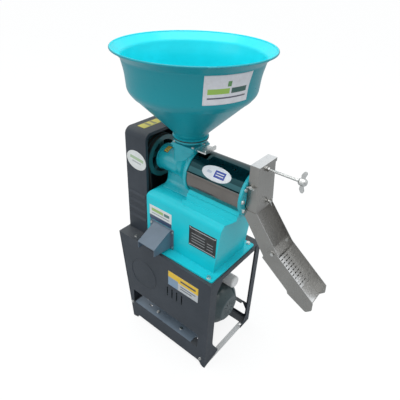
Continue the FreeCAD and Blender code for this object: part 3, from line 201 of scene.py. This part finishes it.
def paint(name, shade, light, rough=0.4, coat=0.0, grain=900.0, depth=0.00004,
          worn=(0.5, 0.5, 0.5), dust=0.05, gloss=0.5):
    """Sprayed enamel or powder: cloudy shade, fine orange peel, edges rubbed thin, a little dust."""
    mat, tree, bsdf, where = new_shader(name)
    peel = add_node(tree, "ShaderNodeTexNoise", Scale=grain, Detail=2.0)
    speck = add_node(tree, "ShaderNodeTexNoise", Scale=130.0, Detail=6.0, Roughness=0.75)
    tree.links.new(where, peel.inputs["Vector"])
    tree.links.new(where, speck.inputs["Vector"])
    edge, soft_normal = edge_mask(tree, 0.0012)
    chip = add_node(tree, "ShaderNodeMapRange", From_Min=0.52, From_Max=0.68, To_Min=0.04, To_Max=0.45)
    tree.links.new(speck.outputs[0], chip.inputs["Value"])
    colour = mixed(tree, times(tree, edge, chip.outputs[0]), cloudy(tree, where, 9.0, shade, light), worn)
    settled = times(tree, upward(tree, 0.55, 0.95, dust * 2), speck.outputs[0])
    tree.links.new(mixed(tree, settled, colour, (0.62, 0.58, 0.50)), bsdf.inputs["Base Color"])
    dull = add_node(tree, "ShaderNodeMapRange", From_Min=0.3, From_Max=0.75,
                    To_Min=rough - 0.05, To_Max=rough + 0.12)
    tree.links.new(speck.outputs[0], dull.inputs["Value"])
    tree.links.new(dull.outputs[0], bsdf.inputs["Roughness"])
    bump = add_node(tree, "ShaderNodeBump", Strength=0.5, Distance=depth)
    tree.links.new(peel.outputs[0], bump.inputs["Height"])
    tree.links.new(soft_normal, bump.inputs["Normal"])
    tree.links.new(bump.outputs[0], bsdf.inputs["Normal"])
    bsdf.inputs["Coat Weight"].default_value = coat
    bsdf.inputs["Coat Roughness"].default_value = 0.12
    bsdf.inputs["Specular IOR Level"].default_value = gloss
    return mat


def dress(mat, *names):
    """Gives a finish to CAD pieces."""
    for name in names:
        node = part[name]
        node.data.materials.clear()
        node.data.materials.append(mat)


powder = paint("charcoal_powder", (0.028, 0.036, 0.047), (0.040, 0.049, 0.062), rough=0.42, grain=1400.0,
               worn=(0.12, 0.13, 0.14), gloss=0.35)
slate = paint("slate_paint", (0.10, 0.14, 0.19), (0.14, 0.19, 0.25), rough=0.34, worn=(0.34, 0.38, 0.42))
pale_bar = paint("pale_bar", (0.55, 0.57, 0.58), (0.68, 0.69, 0.69), rough=0.35,
                 worn=(0.35, 0.34, 0.32), dust=0.1)


def metal(name, shade, rough, streak=(1, 1, 1), depth=0.00002, mottle=0.25, bright=None):
    """Bare or plated steel: streaks along the rolling direction, smears, and, where bright is given, paler
    where it looks up: partly dust, partly painted light.
    """
    mat, tree, bsdf, where = new_shader(name)
    stretch = add_node(tree, "ShaderNodeMapping", Scale=streak)
    tree.links.new(where, stretch.inputs["Vector"])
    grain = add_node(tree, "ShaderNodeTexNoise", Scale=220.0, Detail=4.0, Roughness=0.7)
    tree.links.new(stretch.outputs[0], grain.inputs["Vector"])
    colour = cloudy(tree, where, 14.0, [c * (1 - mottle) for c in shade], shade)
    # Painted light: faces that look up are mixed toward bright, standing in partly for pale dust and partly
    # for the light they catch.
    if bright is not None:
        colour = mixed(tree, upward(tree, 0.25, 0.75, 0.9), colour, bright)
    tree.links.new(colour, bsdf.inputs["Base Color"])
    dull = add_node(tree, "ShaderNodeMapRange", From_Min=0.3, From_Max=0.7,
                    To_Min=rough * 0.8, To_Max=rough * 1.3)
    tree.links.new(grain.outputs[0], dull.inputs["Value"])
    tree.links.new(dull.outputs[0], bsdf.inputs["Roughness"])
    soft_normal = add_node(tree, "ShaderNodeBevel", samples=4, Radius=0.0006).outputs[0]
    bump = add_node(tree, "ShaderNodeBump", Strength=0.4, Distance=depth)
    tree.links.new(grain.outputs[0], bump.inputs["Height"])
    tree.links.new(soft_normal, bump.inputs["Normal"])
    tree.links.new(bump.outputs[0], bsdf.inputs["Normal"])
    bsdf.inputs["Metallic"].default_value = 1.0
    return mat


zinc = metal("bright_zinc", (0.78, 0.78, 0.76), 0.30, depth=0.00003)
dress(powder, "front_panel", "back_panel", "top_rail_left", "top_rail_right")
dress(slate, "motor_shelf")
dress(pale_bar, "foot_tie_left", "foot_tie_right")
dress(zinc, "stand_bolts")


def printed(name, ground, bars):
    """Printed vinyl: plain bars (left, right, low, high, colour) on a ground, a little soiled."""
    mat, tree, bsdf, where = new_shader(name)
    sheet_uv = add_node(tree, "ShaderNodeUVMap", uv_map="print").outputs[0]
    colour = cloudy(tree, where, 60.0, [c * 0.9 for c in ground], ground)
    for left, right, low, high, shade in bars:
        middle = add_node(tree, "ShaderNodeVectorMath", operation="SUBTRACT")
        tree.links.new(sheet_uv, middle.inputs[0])
        middle.inputs[1].default_value = ((left + right) / 2, (low + high) / 2, 0)
        away = add_node(tree, "ShaderNodeVectorMath", operation="ABSOLUTE")
        tree.links.new(middle.outputs[0], away.inputs[0])
        split = add_node(tree, "ShaderNodeSeparateXYZ")
        tree.links.new(away.outputs[0], split.inputs[0])
        inside = []
        for axis, half in (("X", (right - left) / 2), ("Y", (high - low) / 2)):
            within = add_node(tree, "ShaderNodeMath", operation="LESS_THAN")
            tree.links.new(split.outputs[axis], within.inputs[0])
            within.inputs[1].default_value = half
            inside.append(within.outputs[0])
        colour = mixed(tree, times(tree, *inside), colour, shade)
    smudge = add_node(tree, "ShaderNodeTexNoise", Scale=45.0, Detail=6.0, Roughness=0.7)
    tree.links.new(where, smudge.inputs["Vector"])
    soil = add_node(tree, "ShaderNodeMapRange", From_Min=0.5, From_Max=0.8, To_Min=0.0, To_Max=0.25)
    tree.links.new(smudge.outputs[0], soil.inputs["Value"])
    tree.links.new(mixed(tree, soil.outputs[0], colour, (0.35, 0.33, 0.28)), bsdf.inputs["Base Color"])
    dull = add_node(tree, "ShaderNodeMapRange", To_Min=0.22, To_Max=0.42)
    tree.links.new(smudge.outputs[0], dull.inputs["Value"])
    tree.links.new(dull.outputs[0], bsdf.inputs["Roughness"])
    bump = add_node(tree, "ShaderNodeBump", Strength=0.2, Distance=0.00005)
    tree.links.new(smudge.outputs[0], bump.inputs["Height"])
    tree.links.new(bump.outputs[0], bsdf.inputs["Normal"])
    return mat


def label(name, on, aim, finish, oval=False, columns=40, rows=28, thick=0.0003):
    """A thin plate or vinyl: a grid dropped along aim(u, v) onto a CAD piece, lifted by its thickness."""
    skin = BVHTree.FromPolygons([v.co for v in part[on].data.vertices],
                                [p.vertices[:] for p in part[on].data.polygons])
    sunk = 0.00005
    made = bmesh.new()
    uv = made.loops.layers.uv.new("print")
    place = {}
    layers = []
    for lift in (thick, -sunk):
        grid = []
        for j in range(rows + 1):
            for i in range(columns + 1):
                u, v = 2 * i / columns - 1, 2 * j / rows - 1
                if oval:
                    u, v = u * math.sqrt(1 - v * v / 2), v * math.sqrt(1 - u * u / 2)
                start, along = aim(u, v)
                along = along.normalized()
                hit = skin.ray_cast(start, along)[0]
                vert = made.verts.new(hit - along * lift)
                place[vert] = (u / 2 + 0.5, v / 2 + 0.5)
                grid.append(vert)
        layers.append(grid)
    wide = columns + 1
    for grid in layers:
        for j in range(rows):
            for i in range(columns):
                a = j * wide + i
                made.faces.new((grid[a], grid[a + 1], grid[a + wide + 1], grid[a + wide]))
    rim = [i for i in range(columns)] + [columns + wide * j for j in range(rows)]
    rim += [rows * wide + i for i in range(columns, 0, -1)] + [wide * j for j in range(rows, 0, -1)]
    for a, b in zip(rim, rim[1:] + rim[:1]):
        made.faces.new((layers[0][a], layers[0][b], layers[1][b], layers[1][a]))
    bmesh.ops.recalc_face_normals(made, faces=made.faces)
    for patch in made.faces:
        patch.smooth = True
        for loop in patch.loops:
            loop[uv].uv = place[loop.vert]
    mesh = bpy.data.meshes.new(name)
    made.to_mesh(mesh)
    made.free()
    mesh.materials.append(finish)
    piece = bpy.data.objects.new(name, mesh)
    scene.collection.objects.link(piece)
    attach(piece, "machine")
    return piece


def facing_front(low_x, high_x, low_z, high_z, turn=0.0):
    """Aims a label at a wall that looks toward the operator; turn tilts it in the wall."""
    centre = Vector(((low_x + high_x) / 2, -0.5, (low_z + high_z) / 2))
    spin = Matrix.Rotation(turn, 3, "Y")
    half = Vector(((high_x - low_x) / 2, 0, (high_z - low_z) / 2))
    return lambda u, v: (centre + spin @ Vector((u * half.x, 0, v * half.z)), Vector((0, 1, 0)))


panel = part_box("front_panel")
left, top = panel[0][0], panel[1][2]
yellow, silver, ink = (0.80, 0.52, 0.03), (0.55, 0.58, 0.60), (0.05, 0.06, 0.08)
panel_print = printed("panel_print", silver, [
    (0.0, 1.0, 0.52, 1.0, yellow), (0.0, 0.34, 0.0, 0.60, (0.22, 0.33, 0.45)),
    (0.42, 0.92, 0.68, 0.80, ink),
    (0.42, 0.92, 0.34, 0.40, ink), (0.42, 0.80, 0.18, 0.24, ink)])
label("panel_label", "front_panel",
      facing_front(left + 0.260, left + 0.400, top - 0.113, top - 0.046), panel_print)


def growing_tree(name, sockets):
    """An empty Geometry Nodes tree with named inputs, each given as (socket kind, value)."""
    tree = bpy.data.node_groups.new(name, "GeometryNodeTree")
    tree.interface.new_socket("Geometry", in_out="INPUT", socket_type="NodeSocketGeometry")
    for key, (kind, value) in sockets.items():
        socket = tree.interface.new_socket(key, in_out="INPUT", socket_type=kind)
        if value is not None:
            socket.default_value = value
    tree.interface.new_socket("Geometry", in_out="OUTPUT", socket_type="NodeSocketGeometry")
    return tree, tree.nodes.new("NodeGroupInput"), tree.nodes.new("NodeGroupOutput")


def finish_tree(tree, given, out, shaped):
    """Ends a tree: realise the instances, smooth them and set the finish."""
    real = tree.nodes.new("GeometryNodeRealizeInstances")
    smooth = tree.nodes.new("GeometryNodeSetShadeSmooth")
    coat = tree.nodes.new("GeometryNodeSetMaterial")
    tree.links.new(shaped, real.inputs[0])
    tree.links.new(real.outputs[0], smooth.inputs[0])
    tree.links.new(smooth.outputs[0], coat.inputs["Geometry"])
    tree.links.new(given.outputs["Finish"], coat.inputs["Material"])
    tree.links.new(coat.outputs[0], out.inputs[0])


def grow(name, tree, points, edges, body, slot, **values):
    """Runs a tree on a path or a set of points and keeps the result as a plain mesh on a body."""
    seed = bpy.data.meshes.new(name + "_seed")
    seed.from_pydata([tuple(p) for p in points], edges, [])
    piece = bpy.data.objects.new(name, seed)
    scene.collection.objects.link(piece)
    step = piece.modifiers.new("grow", "NODES")
    step.node_group = tree
    for socket in tree.interface.items_tree:
        if socket.item_type == "SOCKET" and socket.in_out == "INPUT" and socket.name in values:
            step[socket.identifier] = values[socket.name]
    graph = bpy.context.evaluated_depsgraph_get()
    mesh = bpy.data.meshes.new_from_object(piece.evaluated_get(graph), depsgraph=graph)
    piece.modifiers.clear()
    piece.data = mesh
    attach(piece, body)
    return piece


bead_tree, given, out = growing_tree("weld_bead", {
    "Spacing": ("NodeSocketFloat", 0.0016), "Radius": ("NodeSocketFloat", 0.0018),
    "Seed": ("NodeSocketInt", 3), "Finish": ("NodeSocketMaterial", None)})
path = bead_tree.nodes.new("GeometryNodeMeshToCurve")
steps = add_node(bead_tree, "GeometryNodeResampleCurve", mode="LENGTH")
drop = add_node(bead_tree, "GeometryNodeMeshIcoSphere", Subdivisions=2)
row = bead_tree.nodes.new("GeometryNodeInstanceOnPoints")
uneven = add_node(bead_tree, "FunctionNodeRandomValue", data_type="FLOAT_VECTOR")
uneven.inputs[0].default_value = (0.8, 0.8, 0.6)
uneven.inputs[1].default_value = (1.15, 1.15, 0.9)
bead_tree.links.new(given.outputs["Geometry"], path.inputs[0])
bead_tree.links.new(path.outputs[0], steps.inputs["Curve"])
bead_tree.links.new(given.outputs["Spacing"], steps.inputs["Length"])
bead_tree.links.new(given.outputs["Radius"], drop.inputs["Radius"])
bead_tree.links.new(given.outputs["Seed"], uneven.inputs["Seed"])
bead_tree.links.new(steps.outputs[0], row.inputs["Points"])
bead_tree.links.new(drop.outputs[0], row.inputs["Instance"])
bead_tree.links.new(uneven.outputs[0], row.inputs["Scale"])
finish_tree(bead_tree, given, out, row.outputs[0])
weld_steel = metal("weld_steel", (0.30, 0.28, 0.26), 0.42, depth=0.0001, mottle=0.5)
for side in ("left", "right"):
    low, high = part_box("foot_tie_" + side)
    ends = [((low[0] + 0.001, y, high[2]), (high[0] - 0.001, y, high[2]))
            for y in (low[1] + 0.0012, high[1] - 0.0012)]
    grow("tie_welds_" + side, bead_tree, [p for pair in ends for p in pair], [(0, 1), (2, 3)], "machine",
         "charcoal_sheet", Finish=powder)

# ---------------------------------------------------------------- motor
# A foot-mounted motor: ribbed cast frame, two domed end shields, pressed fan cowl and a pale
# starting capacitor in a strap on top. It slides in the shelf's slots to tighten the belts.
motor_enamel = paint("motor_enamel", (0.020, 0.045, 0.050), (0.035, 0.065, 0.072), rough=0.30, coat=0.4,
                     worn=(0.2, 0.24, 0.25))
dark_plastic = paint("dark_plastic", (0.02, 0.02, 0.022), (0.035, 0.035, 0.038), rough=0.5,
                     worn=(0.08, 0.08, 0.08))
pale_plastic = paint("pale_plastic", (0.80, 0.81, 0.80), (0.88, 0.88, 0.87), rough=0.4,
                     worn=(0.8, 0.8, 0.78))
turned_steel = metal("turned_steel", (0.55, 0.54, 0.52), 0.28, streak=(6, 1, 1))
cast_iron = metal("bare_iron", (0.20, 0.19, 0.18), 0.5, depth=0.0001, mottle=0.4)
dress(motor_enamel, "motor_frame", "motor_drive_shield", "motor_fan_shield", "fan_cowl", "capacitor_saddle")
dress(pale_plastic, "capacitor")
dress(dark_plastic, "terminal_box", "cable_gland", "motor_fan")
dress(zinc, "motor_foot_bolts")
dress(turned_steel, "motor_shaft", "motor_bearings")
dress(cast_iron, "motor_rotor", "motor_stator", "motor_pulley")

# ---------------------------------------------------------------- belts, pulley and guard
# Two moulded rubber V-belts climb from the motor to a spoked cast pulley, enamelled dark teal.
# A deep folded guard of thin sheet, powder coated like the stand, covers them.
rubber = paint("belt_rubber", (0.012, 0.012, 0.012), (0.022, 0.022, 0.021), rough=0.7,
               worn=(0.05, 0.05, 0.05))
pulley_enamel = paint("pulley_enamel", (0.010, 0.085, 0.090), (0.016, 0.115, 0.125), rough=0.35, coat=0.3,
                      worn=(0.2, 0.25, 0.25))
dress(rubber, "drive_belts")
dress(pulley_enamel, "driven_pulley")
dress(powder, "belt_guard")

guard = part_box("belt_guard")
pale = (0.78, 0.80, 0.78)
guard_print = printed("guard_print", (0.80, 0.82, 0.81), [
    (0.18, 0.86, 0.52, 0.68, (0.42, 0.56, 0.36)), (0.30, 0.74, 0.36, 0.44, (0.45, 0.48, 0.47))])
label("guard_label", "belt_guard",
      facing_front(guard[0][0] + 0.004, guard[0][0] + 0.100, guard[1][2] - 0.147, guard[1][2] - 0.075,
                   turn=0.10), guard_print, oval=True)
tag_print = printed("tag_print", (0.78, 0.66, 0.10), [
    (0.08, 0.92, 0.30, 0.42, (0.30, 0.26, 0.10)), (0.08, 0.92, 0.58, 0.70, (0.30, 0.26, 0.10))])


def facing_up(low_x, high_x, low_y, high_y):
    return lambda u, v: (Vector(((low_x + high_x) / 2 + u * (high_x - low_x) / 2,
                                 (low_y + high_y) / 2 + v * (high_y - low_y) / 2, 1.0)), Vector((0, 0, -1)))


label("guard_top_label", "belt_guard",
      facing_up(guard[0][0] + 0.024, guard[0][0] + 0.059, -0.055, 0.040), tag_print)

# ---------------------------------------------------------------- body and bran chute
# The hollow body is enamelled bright teal. A folded slate hood, held by small screws, throws
# the bran forward.
teal = paint("teal_enamel", (0.004, 0.56, 0.65), (0.006, 0.63, 0.73), rough=0.30, coat=0.2, depth=0.00006,
             worn=(0.20, 0.66, 0.72), dust=0.02, gloss=0.25)
dress(teal, "bran_housing")
dress(zinc, "body_bolts", "bran_chute_bolts")
dress(slate, "bran_chute")

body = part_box("bran_housing")
left, low = body[0][0], body[0][2]
plate_print = printed("plate_print", (0.012, 0.012, 0.013), [
    (0.04, 0.96, 0.90, 0.93, silver), (0.04, 0.96, 0.06, 0.09, silver)]
    + [(0.10, 0.60, v, v + 0.035, (0.30, 0.31, 0.32)) for v in (0.24, 0.38, 0.52, 0.66)]
    + [(0.68, 0.90, v, v + 0.035, (0.30, 0.31, 0.32)) for v in (0.24, 0.38, 0.52)])
label("name_plate", "bran_housing",
      facing_front(left + 0.2025, left + 0.3165, low + 0.074, low + 0.155), plate_print, thick=0.0008)
body_print = printed("body_print", (0.78, 0.80, 0.79), [
    (0.10, 0.62, 0.62, 0.82, (0.34, 0.52, 0.16)), (0.66, 0.90, 0.62, 0.82, (0.10, 0.22, 0.20)),
    (0.10, 0.90, 0.44, 0.50, (0.30, 0.34, 0.36)), (0.0, 1.0, 0.0, 0.30, (0.04, 0.07, 0.14))])
label("body_label", "bran_housing",
      facing_front(left + 0.0145, left + 0.1215, low + 0.0965, low + 0.157), body_print)

rivet_tree, given, out = growing_tree("rivets", {
    "Radius": ("NodeSocketFloat", 0.0021), "Finish": ("NodeSocketMaterial", None)})
dome = add_node(rivet_tree, "GeometryNodeMeshUVSphere", Segments=20, Rings=10)
row = rivet_tree.nodes.new("GeometryNodeInstanceOnPoints")
row.inputs["Scale"].default_value = (1, 0.45, 1)
rivet_tree.links.new(given.outputs["Geometry"], row.inputs["Points"])
rivet_tree.links.new(given.outputs["Radius"], dome.inputs["Radius"])
rivet_tree.links.new(dome.outputs[0], row.inputs["Instance"])
finish_tree(rivet_tree, given, out, row.outputs[0])
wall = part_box("bran_chute")[1][1] - 0.0008
corners = [(left + x, wall, low + z) for x in (0.2065, 0.3125) for z in (0.0785, 0.1505)]
grow("plate_rivets", rivet_tree, corners, [], "machine", "zinc", Finish=zinc)

# ---------------------------------------------------------------- hulling head
# One teal casting holds both bearings and the feed box. Shaft, screw and roller are machined.
cast_teal = paint("teal_on_casting", (0.004, 0.36, 0.43), (0.006, 0.45, 0.53), rough=0.28, coat=0.5,
                  grain=420.0, depth=0.00020, worn=(0.18, 0.58, 0.64), dust=0.02, gloss=0.35)
dress(cast_teal, "head_casting", "bearing_cap", "end_ring", "feed_throat")
dress(zinc, "head_screws", "ring_bolts", "shaft_nuts")
dress(turned_steel, "main_shaft", "bearing_left", "bearing_right")
dress(cast_iron, "feed_screw", "hulling_roller")

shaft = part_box("main_shaft")
axis_z = (shaft[0][2] + shaft[1][2]) / 2


def around_shaft(low_x, high_x, low_turn, high_turn):
    """Aims at the shaft's axis; turns are in degrees from straight up toward the operator."""
    def aim(u, v):
        turn = math.radians((low_turn + high_turn) / 2 - v * (high_turn - low_turn) / 2)
        out = Vector((0, -math.sin(turn), math.cos(turn)))
        return Vector(((low_x + high_x) / 2 + u * (high_x - low_x) / 2, 0, axis_z)) + out * 0.12, -out
    return aim


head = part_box("head_casting")
tube_print = printed("tube_print", (0.80, 0.55, 0.04), [
    (0.0, 1.0, 0.90, 1.0, ink), (0.0, 1.0, 0.0, 0.10, ink),
    (0.0, 0.12, 0.0, 1.0, ink), (0.88, 1.0, 0.0, 1.0, ink),
    (0.28, 0.72, 0.22, 0.34, ink), (0.28, 0.72, 0.48, 0.56, ink), (0.28, 0.72, 0.68, 0.76, ink)])
label("tube_tag", "head_casting", around_shaft(head[0][0] + 0.014, head[0][0] + 0.034, 2, 42), tube_print)

# ---------------------------------------------------------------- hulling chamber
# A polished cover over two curved side plates; their narrow lips meet in one thin bright line.
# The cover is mirror-polished steel; its dark teal base colour is a painted reflection of dark
# surroundings.
polished = metal("cover_painted_reflection", (0.030, 0.082, 0.092), 0.06, depth=0.000004, mottle=0.15)
# The side plates are plain stainless; their warm grey-brown tint is a painted reflection of warm
# surroundings.
side_plate_reflecting_steel = metal("side_plate_painted_reflection", (0.235, 0.215, 0.198), 0.17, streak=(0.08, 1, 1), mottle=0.15)
# Up-facing faces are mixed nearly to white: partly pale bran dust, partly a painted highlight on the chute
# floors.
stainless = metal("brushed_stainless", (0.36, 0.35, 0.33), 0.30, streak=(1, 1, 0.07), mottle=0.12,
                  bright=(1.0, 1.0, 1.0))
dress(polished, "chamber_cover")
dress(side_plate_reflecting_steel, "chamber_side_plates")
dress(stainless, "rice_screen", "bran_slide")
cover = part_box("chamber_cover")
cover_print = printed("cover_print", (0.80, 0.82, 0.86), [
    (0.44, 0.80, 0.26, 0.74, (0.03, 0.06, 0.36)),
    (0.49, 0.75, 0.56, 0.62, pale), (0.49, 0.75, 0.40, 0.46, pale),
    (0.18, 0.34, 0.42, 0.58, (0.50, 0.56, 0.66))])
label("cover_label", "chamber_cover",
      around_shaft(cover[0][0] + 0.050, cover[0][0] + 0.158, 31, 68), cover_print, oval=True)

# ---------------------------------------------------------------- hopper and gate
# A spun sheet funnel on a black gasket, held by wing nuts, with a steel slide in the throat.
# It is enamelled one teal all over; its outside is darkened by painted shade.
dress(rubber, "hopper_gasket")
dress(zinc, "hopper_wing_nuts")
gate_steel = metal("gate_steel", (0.82, 0.82, 0.80), 0.25, streak=(0.08, 1, 1), mottle=0.1)
dress(gate_steel, "feed_gate")
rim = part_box("hopper")
centre_x = (rim[0][0] + rim[1][0]) / 2

# Painted shade: faces that look away from the upright axis, the outside of the funnel, get a darker teal.
funnel_teal_painted_shade = paint("funnel_teal_painted_shade", (0.008, 0.62, 0.70), (0.012, 0.68, 0.77), rough=0.30, coat=0.2,
                    depth=0.00006, worn=(0.30, 0.74, 0.80), dust=0.02, gloss=0.25)
tree = funnel_teal_painted_shade.node_tree
centred = add_node(tree, "ShaderNodeMapping", Location=(-centre_x, 0, 0), Scale=(1, 1, 0))
tree.links.new(add_node(tree, "ShaderNodeTexCoord").outputs["Object"], centred.inputs["Vector"])
outside = add_node(tree, "ShaderNodeVectorMath", operation="DOT_PRODUCT")
tree.links.new(centred.outputs[0], outside.inputs[0])
tree.links.new(add_node(tree, "ShaderNodeNewGeometry").outputs["Normal"], outside.inputs[1])
share = add_node(tree, "ShaderNodeMapRange", From_Max=0.03, To_Max=0.93)
tree.links.new(outside.outputs["Value"], share.inputs["Value"])
bsdf = tree.nodes["Principled BSDF"]
bright_side = bsdf.inputs["Base Color"].links[0].from_socket
tree.links.new(mixed(tree, share.outputs[0], bright_side, (0.006, 0.27, 0.33)), bsdf.inputs["Base Color"])
dress(funnel_teal_painted_shade, "hopper")


def around_hopper(first, last, low_z, high_z):
    """Aims at the hopper's axis; the turns are in degrees from +X."""
    def aim(u, v):
        turn = math.radians((first + last) / 2 + u * (last - first) / 2)
        out = Vector((math.cos(turn), math.sin(turn), 0))
        return Vector((centre_x, 0, (low_z + high_z) / 2 + v * (high_z - low_z) / 2)) + out * 0.4, -out
    return aim


hopper_print = printed("hopper_print", (0.80, 0.80, 0.84), [
    (0.08, 0.52, 0.36, 0.54, (0.36, 0.58, 0.10)), (0.56, 0.92, 0.36, 0.54, (0.04, 0.12, 0.10)),
    (0.46, 0.54, 0.60, 0.78, (0.12, 0.30, 0.10)), (0.08, 0.92, 0.20, 0.25, (0.10, 0.10, 0.14))])
label("hopper_label", "hopper",
      around_hopper(-43.5, -4, rim[1][2] - 0.112, rim[1][2] - 0.030), hopper_print, columns=60)

# ---------------------------------------------------------------- rice outlet
# Thin stainless sheet: a box with a lid and pressure screw, and a chute in two hinged lengths.
dress(stainless, "outlet_box", "box_lid", "upper_chute", "lower_chute", "chute_screen", "pressure_plate")
dress(zinc, "box_wing_screws", "pressure_screw", "chute_pivot_bolts")

thread_tree, given, out = growing_tree("screw_thread", {
    "Turns": ("NodeSocketFloat", 80.0), "Radius": ("NodeSocketFloat", 0.0039),
    "Length": ("NodeSocketFloat", 0.1),
    "Ridge": ("NodeSocketFloat", 0.0004), "Finish": ("NodeSocketMaterial", None)})
helix = add_node(thread_tree, "GeometryNodeCurveSpiral", Resolution=20)
ridge = add_node(thread_tree, "GeometryNodeCurvePrimitiveCircle", Resolution=4)
swept = thread_tree.nodes.new("GeometryNodeCurveToMesh")
stand_up = thread_tree.nodes.new("GeometryNodeTransform")
stand_up.inputs["Rotation"].default_value = (0, math.pi / 2, 0)
spot = thread_tree.nodes.new("GeometryNodeInstanceOnPoints")
for key, socket in (("Turns", "Rotations"), ("Radius", "Start Radius"), ("Radius", "End Radius"),
                    ("Length", "Height")):
    thread_tree.links.new(given.outputs[key], helix.inputs[socket])
thread_tree.links.new(given.outputs["Ridge"], ridge.inputs["Radius"])
thread_tree.links.new(helix.outputs[0], swept.inputs["Curve"])
thread_tree.links.new(ridge.outputs[0], swept.inputs["Profile Curve"])
thread_tree.links.new(swept.outputs[0], stand_up.inputs["Geometry"])
thread_tree.links.new(given.outputs["Geometry"], spot.inputs["Points"])
thread_tree.links.new(stand_up.outputs[0], spot.inputs["Instance"])
finish_tree(thread_tree, given, out, spot.outputs[0])
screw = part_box("pressure_screw")
screw_z = (screw[0][2] + screw[1][2]) / 2
grow("screw_thread", thread_tree, [(screw[0][0] + 0.002, 0, screw_z)], [], "pressure_set", "zinc",
     Finish=zinc, Turns=92.0, Length=0.114)

box_low, box_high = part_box("outlet_box")
seam = [(box_low[0] + 0.003, side * (box_high[1] + 0.0002), box_low[2]) for side in (-1, 1)]
seam += [(box_high[0] - 0.004, p[1], box_low[2]) for p in seam]
grow("chute_weld", bead_tree, seam, [(0, 2), (1, 3)], "machine", "stainless", Finish=weld_steel,
     Radius=0.0011, Spacing=0.0012)
